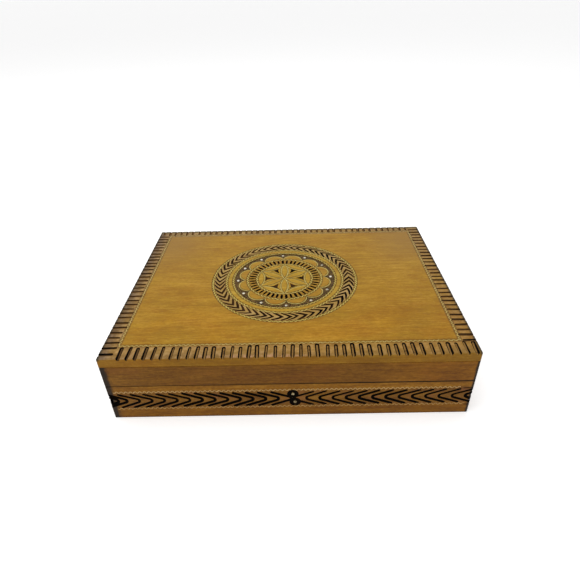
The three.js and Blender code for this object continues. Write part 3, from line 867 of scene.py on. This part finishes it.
def notch_row(number, reach, start, stop, width, depth):
    """One side's row of notches, where number counts the sides from the front, anticlockwise. Each
    row starts clear of the end of the one before it"""
    half_x, half_y = (board_high.x, board_high.y) if number % 2 == 0 else (board_high.y, board_high.x)
    half = width / 2
    lift = notch_lift
    end = [(half * math.cos(a), reach - half + half * math.sin(a))
           for a in (i / notch_end_steps * math.pi for i in range(notch_end_steps + 1))]
    outline = [(half, -lift)] + end + [(-half, -lift)]
    slope = 1 + lift / notch_inner_depth * (1 - notch_floor)

    def ring(share, height):
        corners = []
        for x, y in outline:
            y = min(y, reach - half + (y - reach + half) * share) if y > reach - half else y
            sunk = depth + (notch_inner_depth - depth) * max(y, 0) / reach
            corners.append((x * share, y, -sunk if height is None else height))
        return corners

    flared = 1 + notch_flare * (slope - 1)
    notch = stacked("notch", [ring(notch_floor, None), ring(1, mouth_lift), ring(flared, lift)])
    room = 2 * half_x - start - stop
    count = math.floor(room / notch_pitch) + 1
    step = (room - (count - 1) // notch_group * notch_group_gap) / (count - 1)
    row = repeated(notch, pale_burnt if number else burnt, count, start=(start - half_x, 0, 0),
                   step=(step, 0, 0), group=notch_group, group_gap=(notch_group_gap, 0, 0),
                   size_wobble=0.16, turn_wobble=0.04, depth_wobble=0.12 * mm, seed=11 + number)
    place = Matrix.Rotation(number * math.pi / 2, 4, "Z") @ Matrix.Translation((0, -half_y, board_high.z))
    return moved(row, place)


on_rosette = Matrix.Translation((rosette_centre.x, rosette_centre.y, board_high.z))


def petal_cuts():
    """Six arcs through the middle, deepest in the two upright petals, and six that link their tips"""
    third = math.pi / 3
    cuts = []
    for i in range(6):
        angle = math.pi / 6 + i * third
        through = arc(polar(petal_radius, angle), petal_radius, angle + math.pi - third,
                      angle + math.pi + third, petal_steps)
        sizes = [1 if abs(point.x) < upright_slope * abs(point.y) else side_petal_share
                 for point in through]
        cuts.append(vee_stroke("petal_line", through, petal_line, sizes, fine_lift))
        cuts[-1].data.materials.append(fresh_cut)
    for first in (0, third):
        middle = polar(petal_radius * math.sqrt(3), third)
        linking = arc(middle, petal_radius, math.pi + third / 2, math.pi + third * 3 / 2, linking_steps)
        line = vee_stroke("linking_line", linking, petal_line, lift=fine_lift)
        cuts.append(repeated(line, fresh_cut, 3, first_turn=first, turn=2 * third))
    return cuts


def pits():
    """Three-armed pits between the petals, cut to a point in the middle"""
    inner, outer = pit_reach
    waist = pit_waist_share * (outer - inner)
    centre = Vector(((inner + outer) / 2 + pit_middle_share * waist, 0))
    waist_right, waist_middle, waist_left = [polar(waist, angle) + centre
                                             for angle in (-pit_waist_angle, 0, pit_waist_angle)]
    outline = [polar(inner, 0), waist_right, polar(outer, -pit_spread), waist_middle,
               polar(outer, pit_spread), waist_left]
    lift = stroke_lift
    flare = 1 + lift / pit_depth
    corners = [(*centre, -pit_depth), (*centre, lift)]
    corners += [(*((point - centre) * flare + centre), lift) for point in outline]
    faces = []
    for i in range(6):
        a, b = 2 + i, 2 + (i + 1) % 6
        faces += [[0, b, a], [1, a, b]]
    return repeated(closed("pit", corners, faces), pit_burnt, 6, turn=math.pi / 3, size_wobble=0.03)


def lobe_points(steps):
    """The scalloped edge of the sunk ground, from cusp to cusp of one lobe"""
    half_lobe = math.pi / lobe_count
    chord_half = lobe_cusp_radius * math.sin(half_lobe)
    rise = lobe_top_radius - lobe_cusp_radius * math.cos(half_lobe)
    radius = (chord_half ** 2 + rise ** 2) / (2 * rise)
    opening = math.asin(min(chord_half / radius, 1))
    return arc(Vector((lobe_top_radius - radius, 0)), radius, -opening, opening, steps)


def turned_point(point, angle):
    return Vector((point.x * math.cos(angle) - point.y * math.sin(angle),
                   point.x * math.sin(angle) + point.y * math.cos(angle)))


def ground_rings(inner_share=1, outer_less=0):
    """The inner and outer edge of the sunk ground, corner beside corner"""
    inner = [turned_point(point * inner_share, (2 * i + 1) * math.pi / lobe_count + lobe_turn)
             for i in range(lobe_count) for point in lobe_points(ground_steps)[:-1]]
    outer = [polar(ground_radius - outer_less, math.atan2(point.y, point.x)) for point in inner]
    return inner, outer


def ground_cutter():
    sections = [[(*inner, -ground_depth), (*outer, -ground_depth), (*outer, ground_lift),
                 (*inner, ground_lift)] for inner, outer in zip(*ground_rings())]
    return looped("sunk_ground", sections, ground_stain)


def stipple_tree():
    """Small pricked pits scattered over a face, no two closer than the gap"""
    tree, given, keys = new_tree("stippling", [
        ("Gap", "Float"), ("Radius", "Float"), ("Depth", "Float"), ("Lift", "Float"),
        ("Seed", "Int"), ("Finish", "Material")])
    crowd = maths(tree, "DIVIDE", stipple_crowd, times(tree, given["Gap"], given["Gap"]))
    points = put(tree, "GeometryNodeDistributePointsOnFaces", given["Geometry"], None, given["Gap"],
                 crowd, 1, given["Seed"], distribute_method="POISSON")
    reach = maths(tree, "ADD", given["Depth"], given["Lift"])
    wide = maths(tree, "DIVIDE", times(tree, given["Radius"], reach), given["Depth"])
    prick = put(tree, "GeometryNodeMeshCone", stipple_sides, 1, 1, wide, 0, reach)
    low = vector_of(tree, 0, 0, times(tree, given["Depth"], -1))
    prick = put(tree, "GeometryNodeSetPosition", prick, None, None, low)
    size = put(tree, "FunctionNodeRandomValue", *stipple_sizes, None, given["Seed"])
    copies = put(tree, "GeometryNodeInstanceOnPoints", points, None, prick, None, None, None, size)
    end_tree(tree, copies, given["Finish"])
    return tree, keys


def stipple():
    inner, outer = ground_rings(inner_share=1.025, outer_less=0.7 * mm)
    count = len(inner)
    corners = [(*point, -ground_depth) for point in inner + outer]
    faces = [[i, count + i, count + (i + 1) % count, (i + 1) % count] for i in range(count)]
    mesh = bpy.data.meshes.new("stippled_ground")
    mesh.from_pydata(corners, [], faces)
    pricks = made_by(stipple_tree(), linked("stippled_ground", mesh), {
        "Gap": stipple_gap, "Radius": stipple_radius, "Depth": stipple_depth, "Lift": fine_lift,
        "Seed": 5, "Finish": burnt})
    return outward(pricks)


def scallop_lines():
    """Light lines round the lobes, in two sets, so that no two in a set touch"""
    step = 2 * math.pi / lobe_count
    sets = []
    for first in (step / 2 + lobe_turn, step * 1.5 + lobe_turn):
        points = [point * scallop_share for point in lobe_points(scallop_steps)]
        line = vee_stroke("scallop_line", points, scallop_line, lift=fine_lift)
        sets.append(repeated(line, fresh_cut, lobe_count // 2, first_turn=first, turn=2 * step))
    return sets


def circle(radius):
    return arc(Vector((0, 0)), radius, 0, 2 * math.pi, circle_steps)


tick_radii = (tick_reach[0], sum(tick_reach) / 2, tick_reach[1])
tick = vee_stroke("tick", [Vector((radius, 0)) for radius in tick_radii], tick_cut)
ticks = repeated(tick, burnt, tick_count, turn=2 * math.pi / tick_count, size_wobble=0.02,
                 turn_wobble=0.008, depth_wobble=0.1 * mm, seed=21)
bent = [polar(radius, -herringbone_sweep * share) for radius, share in herringbone_line]
herringbone = repeated(vee_stroke("herringbone_stroke", bent, herringbone_cut), browned,
                       herringbone_count, turn=2 * math.pi / herringbone_count, size_wobble=0.006,
                       turn_wobble=0.012, depth_wobble=0.12 * mm, seed=22)
wavy_rings = wavy_cut("wavy_rings", [circle(radius) for radius in wavy_radii], wavy_fresh, wave_cut)
left_x, front_y, right_x, back_y = border_line
border_corners = [(left_x, front_y), (right_x, front_y), (right_x, back_y), (left_x, back_y)]
border_points = [Vector(corner) for corner in border_corners + border_corners[:1]]
border = wavy_cut("wavy_border", [border_points], border_fresh, wave_cut)
notches = joined("notches", [notch_row(number, **row) for number, row in enumerate(notch_rows)])
rosette_cuts = petal_cuts() + [pits(), ground_cutter(), stipple(), *scallop_lines(), wavy_rings,
                               ticks, herringbone]
rosette_cuts = [moved(cut, on_rosette) for cut in rosette_cuts]
moved(border, Matrix.Translation((0, 0, board_high.z)))
carve(top_board, [notches, border] + rosette_cuts)

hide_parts("top_board")
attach(top_board, "lid")


# The lid's rails. Four lengths of the same wood, planed flat and stained a darker brown, lapped at
# the corners and glued up under the top board. Their upright corners are scorched with the iron.
# The back rail is cut out for the hinges' lid leaves.
half_width, half_depth = 115 * mm, 85 * mm
board_thickness = 8 * mm
lip = 4.25 * mm
glue_line = 0.1 * mm
edge_ease = 0.22 * mm
edge_steps = 2
sharp_angle = math.radians(50)
seam_height = 28.15 * mm
# A painted shadow along the seam where the lid meets the base
painted_seam_shadow = colour(26, 16, 6)
corner_scorch = colour(24, 19, 11)
red_stain = colour(124, 72, 20)
left_end_tint, right_end_tint = (1.1, 1.14, 1.2, 1), (1.3, 1.26, 1, 1)
rail_shades = (colour(96, 56, 6), colour(119, 76, 12), colour(146, 98, 28))
hinge_places = (-73 * mm, 73 * mm)
hinge_half = 12.5 * mm
leaf_width = 6.5 * mm
leaf_thickness = 0.8 * mm
mortise_room = 0.1 * mm
# How far a cutter reaches past the board
cut_past = 1 * mm


def end_plan(direction):
    """The plan of a front (-1) or back (1) board: full width outside, with a lip at each end"""
    shoulder = half_width - board_thickness - glue_line
    lip_y, inner_y = lip - half_depth, board_thickness - half_depth
    plan = rounded_plan(half_width, half_depth, corner_radius, corner_steps)
    front = [(x, y) for x, y in plan if y < 0]
    front += [(half_width, lip_y), (shoulder, lip_y), (shoulder, inner_y),
              (-shoulder, inner_y), (-shoulder, lip_y), (-half_width, lip_y)]
    return front if direction < 0 else [(-x, -y) for x, y in front]


def side_plan(direction):
    """The plan of a left (-1) or right (1) board, which fits between the lips"""
    long = half_depth - lip - glue_line
    inner = half_width - board_thickness
    plan = [(inner, -long), (half_width, -long), (half_width, long), (inner, long)]
    return plan if direction > 0 else [(-x, -y) for x, y in plan]


def drawn_up(name, plan, low, high, finish):
    """A solid with the given plan, from one height to another"""
    return stacked(name, [[(x, y, low) for x, y in plan], [(x, y, high) for x, y in plan]], finish)


def block(name, x0, x1, y0, y1, z0, z1, finish=None):
    return drawn_up(name, [(x0, y0), (x1, y0), (x1, y1), (x0, y1)], z0, z1, finish)


def eased(piece):
    """Takes the sharp edges off"""
    plane = piece.modifiers.new("eased_edges", "BEVEL")
    plane.width = edge_ease
    plane.segments = edge_steps
    plane.limit_method = "ANGLE"
    plane.angle_limit = sharp_angle
    return settled(piece)


def eased_board(name, node, plan, finish):
    """A board with the given plan and its node's height"""
    low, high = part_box(node)
    return eased(drawn_up(name, plan, low.z, high.z, finish))


def hinge_seats(rim, faces):
    """Mortises for both hinges' leaves in a rim that faces up (1) or down (-1)"""
    floor = rim - faces * (leaf_thickness + mortise_room)
    low, high = sorted((floor, rim + faces * cut_past))
    front = half_depth - leaf_width - mortise_room
    reach = hinge_half + mortise_room
    return [block("mortise", x - reach, x + reach, front, half_depth + cut_past, low, high)
            for x in hinge_places]


def scorched_corners(tree, place, shade):
    """The iron darkens the upright corners, more at the left end than at the right, and a painted shadow
    darkens the edges where the lid meets the base, most of all on the right"""
    x, y, z = axes(tree, place)
    from_end, from_front = short_of(tree, x, half_width), short_of(tree, y, half_depth)
    # Painted shadow in the seam between the lid and the base, darkest on the right
    outside = band(tree, maths(tree, "MINIMUM", from_end, from_front), 0.7 * mm, 0.2 * mm)
    seam_shadow_share = times(tree, graded(tree, x, -60 * mm, 50 * mm, 0.45, 0.95), outside,
                  band(tree, apart(tree, z, seam_height), 0.75 * mm, 0.3 * mm))
    shade = mixed(tree, seam_shadow_share, shade, painted_seam_shadow)

    from_corner = maths(tree, "MAXIMUM", from_end, from_front)
    ragged = cloud(tree, place, [1.4 * mm, 1.4 * mm, 6 * mm], 3, 0.65)
    reach = times(tree, graded(tree, x, -60 * mm, 60 * mm, 5.4 * mm, 2.4 * mm),
                  maths(tree, "MULTIPLY_ADD", ragged, 0.9, 0.6))
    scorch = band(tree, from_corner, reach, times(tree, reach, 0.5))
    return mixed(tree, times(tree, scorch, 0.94), shade, corner_scorch)


def rail_tint(tree, place, shade):
    """The rails are a little redder in patches, and lighter towards the ends of the front"""
    patch = cloud(tree, place, [26 * mm, 26 * mm, 12 * mm], 3, 0.55)
    shade = mixed(tree, times(tree, band(tree, patch, 0.5, 0.72), 0.4), shade, red_stain)
    x, _, _ = axes(tree, place)
    shade = multiplied(tree, shade, left_end_tint, band(tree, x, -50 * mm, -100 * mm))
    shade = multiplied(tree, shade, right_end_tint, band(tree, x, 40 * mm, 95 * mm))
    return scorched_corners(tree, place, shade)


rail_wood = stained_wood("brown_stained_wood", 0, *rail_shades, (0.02, 0.41, 0.23), rail_tint)
rail_side_wood = stained_wood("brown_stained_side_wood", 1, *rail_shades, (0.4, 0.12, 0.33), rail_tint)

front_rail = eased_board("front_rail", "lid_front_rail", end_plan(-1), rail_wood)
back_rail = eased_board("back_rail", "lid_back_rail", end_plan(1), rail_wood)
left_rail = eased_board("left_rail", "lid_left_rail", side_plan(-1), rail_side_wood)
right_rail = eased_board("right_rail", "lid_right_rail", side_plan(1), rail_side_wood)
lid_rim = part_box("lid_back_rail")[0].z
carve(back_rail, hinge_seats(lid_rim, -1))

for rail in (front_rail, back_rail, left_rail, right_rail):
    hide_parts("lid_" + rail.name)
    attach(rail, "lid")


# The base's four walls. The same wood, with a band of burnt chevrons between two wavy lines round
# the front and the sides. On the front the chevrons meet at two burnt rings, one above the other.
# The walls' feet are rebated for the bottom board, and the back wall is cut out for the hinges.
band_height = 15.4 * mm
chevron_half_height = 5.9 * mm
chevron_arm_angle = math.radians(20.5)
chevron_apex_radius = 1.5 * mm
chevron_cut = (1.95 * mm, 0.8 * mm, 0.8)
chevron_tail = 0.15
bend_steps = 6
left_run = {"start": 0.9 * mm, "pitch": 8.05 * mm, "count": 14}
corner_run = {"start": -109.2 * mm, "pitch": 4.1 * mm, "count": 2}
right_run = {"start": 2.3 * mm, "pitch": 8.35 * mm, "count": 15}
side_run = {"start": -2.6 * mm, "pitch": 8.2 * mm, "count": 11}
# The places of the two rings on the front, and their cutter's section in radius and height
ring_places = [(2.1 * mm, 19.2 * mm), (3.4 * mm, 12.2 * mm)]
ring_section = [(0.95, 0.3), (1.1, -0.5), (1.6, -0.9), (2.9, -0.9), (3.55, -0.45), (3.8, 0.3)]
ring_steps = 28
upper_line, lower_line = 22.85 * mm, 8.3 * mm
upper_ends, lower_ends = (-111 * mm, 106.5 * mm), (-111 * mm, 111.5 * mm)
side_line_reach = 83 * mm
band_wave = {"pitch": 2.92 * mm, "swing": 0.6 * mm, "cut": (0.72 * mm, 0.3 * mm)}
short_line_places = [(108.5 * mm, 22 * mm), (111 * mm, 7.4 * mm)]
short_line_step = 3 * mm
line_steps = 12
short_line_cut = (0.7 * mm, 0.35 * mm, 0.6)
rebate_inset = 4.5 * mm
rebate_height = 3.5 * mm
# What the stain is multiplied by at shares of the walls' height. The dark foot is painted shade
wall_height = 28.2 * mm
wall_levels = [
    (0.0, (0.5, 0.45, 0.36, 1)), (0.05, (1.02, 0.92, 0.52, 1)), (0.29, (1.04, 0.94, 0.55, 1)),
    (0.33, (0.92, 0.9, 0.9, 1)), (0.8, (0.92, 0.9, 0.9, 1)), (0.84, (1.34, 1.33, 1.25, 1))]
rosy_stain = colour(140, 86, 50)
wall_shades = (colour(102, 62, 8), colour(127, 84, 16), colour(154, 108, 32))


def wall_tint(tree, place, shade):
    """The walls are lightest above the band, greyer within it with rosy patches, yellower below it and
    darkest at the foot, where the shade is painted"""
    _, _, z = axes(tree, place)
    shade = multiplied(tree, shade, ramp(tree, maths(tree, "DIVIDE", z, wall_height), wall_levels))
    patch = cloud(tree, place, [9 * mm, 9 * mm, 7 * mm], 3, 0.55)
    rosy = times(tree, band(tree, patch, 0.48, 0.7), band(tree, z, 8.6 * mm, 10 * mm),
                 band(tree, z, 23 * mm, 21 * mm), 0.4)
    shade = mixed(tree, rosy, shade, rosy_stain)
    return scorched_corners(tree, place, shade)


wall_wood = stained_wood("wall_stained_wood", 0, *wall_shades, (0.11, 0.07, 0.41), wall_tint)
wall_side_wood = stained_wood("wall_stained_side_wood", 1, *wall_shades, (0.26, 0.3, 0.19), wall_tint)
band_fresh = cut_wood("fresh_band_cut", colour(182, 142, 84), colour(212, 174, 116),
                      colour(96, 66, 30), 0.04 * mm)
foot_fresh = cut_wood("rubbed_band_cut", colour(162, 120, 62), colour(194, 154, 96),
                      colour(96, 66, 30), 0.05 * mm)


def stood_up(turn, out):
    """Takes cuts from a flat drawing to an upright face, so far out and turned from the front"""
    return (Matrix.Rotation(turn, 4, "Z") @ Matrix.Translation((0, -out, 0))
            @ Matrix.Rotation(math.pi / 2, 4, "X"))


on_front = stood_up(0, half_depth)
on_right = stood_up(math.pi / 2, half_width)
on_left = stood_up(-math.pi / 2, half_width)


def chevron_run(name, direction, start, pitch, count, seed, upper=1, lower=1):
    """Chevrons that point along the face (1) or back along it (-1), the first at start and the
    rest behind it. upper and lower scale the cut's width in the two arms"""
    sharp = chevron_apex_radius * (1 / math.sin(chevron_arm_angle) - 1)
    tail = sharp - chevron_half_height / math.tan(chevron_arm_angle)
    turn = math.pi / 2 - chevron_arm_angle
    bend = arc(Vector((-chevron_apex_radius, 0)), chevron_apex_radius, turn, -turn, bend_steps)
    top_end, low_end = Vector((tail, chevron_half_height)), Vector((tail, -chevron_half_height))
    line = [top_end, top_end.lerp(bend[0], chevron_tail), *bend,
            low_end.lerp(bend[-1], chevron_tail), low_end]
    sizes = [upper] * 3 + [1] * (bend_steps - 1) + [lower] * 3
    line = [Vector((direction * point.x, point.y)) for point in line]
    stroke = vee_stroke(name, line, chevron_cut, sizes)
    return repeated(stroke, burnt, count, start=(start, band_height, 0), step=(-direction * pitch, 0, 0),
                    size_wobble=0.02, turn_wobble=0.02, depth_wobble=0.09 * mm, seed=seed)


def turns(steps):
    """Angles evenly round a circle"""
    return [2 * math.pi * i / steps for i in range(steps)]


def ring_cut(x, y):
    """A burnt ring's cutter, as if turned with a hollow drill round its pin"""
    sections = [[(x + radius * mm * math.cos(a), y + radius * mm * math.sin(a), height * mm)
                 for radius, height in ring_section] for a in turns(ring_steps)]
    return looped("ring_cut", sections, burnt)


def short_line(x, y):
    """A short burnt stroke that runs off the front's right corner, in line with a wavy line"""
    points = [Vector((x + i * short_line_step, y)) for i in range(3)]
    line = vee_stroke("short_line", points, short_line_cut)
    line.data.materials.append(burnt)
    return line


def band_lines(name, start, end, heights, finish):
    """Wavy lines along a face, one at each height"""
    lines = [[Vector((start + (end - start) * i / line_steps, height)) for i in range(line_steps + 1)]
             for height in heights]
    return wavy_cut(name, lines, finish, **band_wave)


def front_cuts():
    short = [short_line(x, y) for x, y in short_line_places]
    lines = [band_lines("upper_wavy_line", *upper_ends, [upper_line], band_fresh),
             band_lines("lower_wavy_line", *lower_ends, [lower_line], foot_fresh)]
    return [chevron_run("left_chevrons", 1, seed=31, **left_run),
            chevron_run("corner_chevrons", 1, seed=35, **corner_run),
            chevron_run("right_chevrons", -1, seed=32, upper=0.86, **right_run),
            *[ring_cut(x, y) for x, y in ring_places], *lines, *short]


def side_cuts(seed, face):
    """On a side the chevrons come in from both corners and meet nose to nose"""
    lines = band_lines("side_wavy_lines", -side_line_reach, side_line_reach, [upper_line, lower_line],
                       band_fresh)
    facing = dict(side_run, start=-side_run["start"])
    cuts = [chevron_run("side_chevrons", 1, seed=seed, **side_run),
            chevron_run("side_chevrons", -1, seed=seed + 1, **facing), lines]
    return [moved(cut, face) for cut in cuts]


def left_cuts():
    return side_cuts(41, on_left)


def right_cuts():
    return side_cuts(43, on_right)


def rebate_cut():
    x, y = half_width - rebate_inset, half_depth - rebate_inset
    return block("rebate", -x, x, -y, y, -cut_past, rebate_height)


front_wall = eased_board("carved_front_wall", "base_front_wall", end_plan(-1), wall_wood)
carve(front_wall, [rebate_cut()] + [moved(cut, on_front) for cut in front_cuts()] + left_cuts()
      + right_cuts())
back_wall = eased_board("back_wall", "base_back_wall", end_plan(1), wall_wood)
carve(back_wall, [rebate_cut()] + left_cuts() + right_cuts())
base_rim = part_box("base_back_wall")[1].z
carve(back_wall, hinge_seats(base_rim, 1))
left_wall = eased_board("carved_left_wall", "base_left_wall", side_plan(-1), wall_side_wood)
carve(left_wall, [rebate_cut()] + left_cuts())
right_wall = eased_board("carved_right_wall", "base_right_wall", side_plan(1), wall_side_wood)
carve(right_wall, [rebate_cut()] + right_cuts())

for wall, node in ((front_wall, "base_front_wall"), (back_wall, "base_back_wall"),
                   (left_wall, "base_left_wall"), (right_wall, "base_right_wall")):
    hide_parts(node)
    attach(wall, "base")


# The hinges. Two small butt hinges of rolled brass sheet, let into the back rims with the barrel
# outside, each with a wire pin and two countersunk nails in each leaf.
barrel_y, barrel_z = 86.9 * mm, seam_height
barrel_radius = 1.6 * mm
knuckle_ease = 0.12 * mm
pin_radius = 0.8 * mm
pin_ease = 0.15 * mm
bore_room = 0.05 * mm
middle_half = 4.85 * mm
knuckle_gap = 0.15 * mm
rim_gap = 0.15 * mm
tongue_start = 82 * mm
tongue_end = barrel_y - 1.2 * mm
nail_y = 81.6 * mm
nail_reach = 8 * mm
nail_room = 0.05 * mm
countersink_more = 0.1 * mm
# A nail's outline from its point to its head, in radius and height above the leaf
nail_profile = [(0.15, -7), (0.2, -6.95), (0.5, -5.8), (0.5, -0.5), (1.02, -0.03), (0.95, 0)]


def rod(name, radius, x0, x1, steps=28, ease=0):
    """A round bar along x on the hinge's axis, with its ends eased"""
    rings = [(x0, radius - ease), (x0 + ease, radius), (x1 - ease, radius), (x1, radius - ease)]
    rings = rings if ease else [(x0, radius), (x1, radius)]
    sections = [[(x, barrel_y + size * math.cos(a), barrel_z + size * math.sin(a))
                 for a in turns(steps)] for x, size in rings]
    return stacked(name, sections)


def lathe(name, profile, finish, steps=20):
    """A piece turned about z from radius and height pairs, closed at both ends"""
    rings = [[(radius * math.cos(a), radius * math.sin(a), height) for a in turns(steps)]
             for radius, height in profile]
    return stacked(name, rings, finish)


def worn_metal(name, shade, dull, edge, roughness):
    """Metal gone dull in patches, darkest in the middle of them, with fine bright scratches"""
    finish, tree, place = new_finish(name)
    patch = cloud(tree, place, [4 * mm] * 3, 4, 0.6)
    scratch = cloud(tree, place, [6 * mm, 0.2 * mm, 0.2 * mm], 2, 0.5)
    spread = ramp(tree, patch, [(0.35, edge), (0.5, dull), (0.68, shade)])
    spread = mixed(tree, times(tree, band(tree, scratch, 0.55, 0.75), 0.3), spread, shade)
    rough = maths(tree, "MULTIPLY_ADD", patch, -0.2, roughness + 0.1)
    finished(tree, spread, rough, scratch, height_size=0.02 * mm, metallic=1)
    return finish


brass = worn_metal("dull_brass", colour(200, 164, 98), colour(180, 145, 84), colour(134, 103, 58), 0.4)


def nail(x, rim, faces, room):
    """A nail with its head flush with the rim. With room, the cutter for its hole"""
    profile = [(radius * mm + room, height * mm - room) for radius, height in nail_profile]
    if room:
        profile[-1] = (profile[-1][0] + countersink_more, stroke_lift)
    piece = lathe("nail", profile, brass)
    turn = Matrix.Rotation(0 if faces > 0 else math.pi, 4, "X")
    return outward(moved(piece, Matrix.Translation((x, nail_y, rim)) @ turn))


def two_nails(x, rim, faces, room=0):
    return [nail(x + reach, rim, faces, room) for reach in (-nail_reach, nail_reach)]


def hinge_leaf(name, x, faces, knuckles):
    """A leaf with its knuckles rolled round the pin, drilled for the pin and the nails"""
    rim = barrel_z - faces * rim_gap
    low, high = sorted((rim, rim - faces * leaf_thickness))
    leaf = block(name, x - hinge_half, x + hinge_half, half_depth - leaf_width, half_depth, low, high, brass)
    parts = []
    for x0, x1 in knuckles:
        parts.append(block("tongue", x + x0, x + x1, tongue_start, tongue_end, low, high))
        parts.append(rod("knuckle", barrel_radius, x + x0, x + x1, ease=knuckle_ease))
    combined(leaf, parts, "UNION")
    bore = rod("bore", pin_radius + bore_room, x - hinge_half - cut_past, x + hinge_half + cut_past)
    return combined(leaf, [bore, *two_nails(x, rim, faces, nail_room)], "DIFFERENCE")


for x, side in zip(hinge_places, ("left", "right")):
    outer = middle_half + knuckle_gap
    base_leaf = hinge_leaf(side + "_base_leaf", x, 1, [(-hinge_half, -outer), (outer, hinge_half)])
    lid_leaf = hinge_leaf(side + "_lid_leaf", x, -1, [(-middle_half, middle_half)])
    wire = rod(side + "_wire_pin", pin_radius, x - hinge_half, x + hinge_half, 20, pin_ease)
    wire.data.materials.append(brass)
    base_nails = joined(side + "_base_nails", two_nails(x, base_rim, 1))
    lid_nails = joined(side + "_lid_nails", two_nails(x, lid_rim, -1))
    fittings = [(base_leaf, "base", ["base_leaf"]), (lid_leaf, "lid", ["lid_leaf"]), (wire, "base", ["pin"]),
                (base_nails, "base", ["base_nail_1", "base_nail_2"]),
                (lid_nails, "lid", ["lid_nail_1", "lid_nail_2"])]
    for piece, body, parts in fittings:
        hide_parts(*[side + "_hinge_" + part for part in parts])
        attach(piece, body)


# The bottom board. A thin board of the same wood, left bare, glued into the walls' rebate with its
# grain along the front. Its shape is as the frame has it.
def unstained(tree, place, shade):
    return shade


bottom_wood = stained_wood("bare_bottom_wood", 0, colour(150, 112, 66), colour(176, 138, 88),
                           colour(198, 162, 112), (0.07, 0.51, 0.13), unstained)
bpy.data.objects["bottom_board"].data.materials[0] = bottom_wood


# The ornamental pins. Short round nails of whitish metal with low domed heads: twelve stand in the
# rosette's ground where two lobes meet, and two sit in the front's burnt rings.
pin_profile = [(0.1, -4.5), (0.6, -4.2), (0.6, 0), (1.15, 0.01), (1.12, 0.1), (0.95, 0.23), (0.6, 0.32),
               (0.05, 0.35)]
pin_ring = 34.7 * mm
pin_seat = 0.05 * mm
pin_steps = 16
rosette_pin_size = 0.9
front_pin_size = 0.88

white_metal = worn_metal("whitish_metal", colour(222, 216, 200), colour(188, 180, 158),
                         colour(120, 108, 84), 0.45)
# The front pins' metal is the whitish metal made darker, a painted shade for the front face
shaded_white_metal = worn_metal("shaded_whitish_metal", colour(190, 176, 142), colour(150, 136, 102),
                        colour(96, 82, 56), 0.5)


def pin_at(x, y, finish, size):
    """A pin on a flat face, size times as thick as its profile"""
    profile = [(radius * size * mm, height * mm) for radius, height in pin_profile]
    return moved(lathe("pin", profile, finish, pin_steps), Matrix.Translation((x, y, pin_seat)))


rosette_pins = repeated(pin_at(pin_ring, 0, white_metal, rosette_pin_size), white_metal, lobe_count,
                        first_turn=lobe_turn, turn=2 * math.pi / lobe_count)
rosette_pins.name = "rosette_pins"
moved(rosette_pins, Matrix.Translation((rosette_centre.x, rosette_centre.y, board_high.z - ground_depth)))
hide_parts(*["rosette_pin_" + str(i + 1) for i in range(lobe_count)])
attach(rosette_pins, "lid")

front_pins = joined("front_pins", [pin_at(x, y, shaded_white_metal, front_pin_size) for x, y in ring_places])
moved(front_pins, on_front)
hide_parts("front_pin_upper", "front_pin_lower")
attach(front_pins, "base")


# The floor and the light. A pale floor that takes the box's shadow, in an evenly white room, with
# one large soft lamp a little left of the box and high above it. Both look white to the camera.
floor_size = 60
floor_shade = (0.9, 0.9, 0.9, 1)
floor_roughness = 0.9
floor_glow = 0.4
room_light = 0.55
room_shade = (1, 1, 1, 1)
lamp_size = 1.2
lamp_power = 9.5
lamp_place = (-0.3, -0.1, 1.3)
lamp_lean = -0.23


def seen_ray(tree):
    """1 for what the camera sees directly, in a gloss or through glass, and 0 for the light itself"""
    ray = tree.nodes.new("ShaderNodeLightPath")
    seen = maths(tree, "MAXIMUM", ray.outputs["Is Camera Ray"], ray.outputs["Is Glossy Ray"])
    return maths(tree, "MAXIMUM", seen, ray.outputs["Is Transmission Ray"])


bpy.ops.mesh.primitive_plane_add(size=floor_size)
floor = bpy.context.object
floor.name = "floor"
finish, tree, _ = new_finish("pale_floor")
paint = put(tree, "ShaderNodeBsdfPrincipled", floor_shade, 0, floor_roughness)
glow = put(tree, "ShaderNodeEmission", None, times(tree, seen_ray(tree), floor_glow))
ended(tree, "ShaderNodeOutputMaterial", put(tree, "ShaderNodeAddShader", paint, glow))
floor.data.materials.append(finish)

world = bpy.data.worlds.new("soft_room")
bpy.context.scene.world = world
world.use_nodes = True
world.node_tree.nodes.clear()
tree = world.node_tree
strength = maths(tree, "MULTIPLY_ADD", seen_ray(tree), 1 - room_light, room_light)
ended(tree, "ShaderNodeOutputWorld", put(tree, "ShaderNodeBackground", room_shade, strength))

lamp = bpy.data.lights.new("soft_lamp", "AREA")
lamp.size = lamp_size
lamp.energy = lamp_power
lamp_holder = bpy.data.objects.new("soft_lamp", lamp)
lamp_holder.matrix_world = Matrix.Translation(lamp_place) @ Matrix.Rotation(lamp_lean, 4, "Y")
bpy.context.collection.objects.link(lamp_holder)

bpy.context.scene.view_settings.view_transform = "Standard"
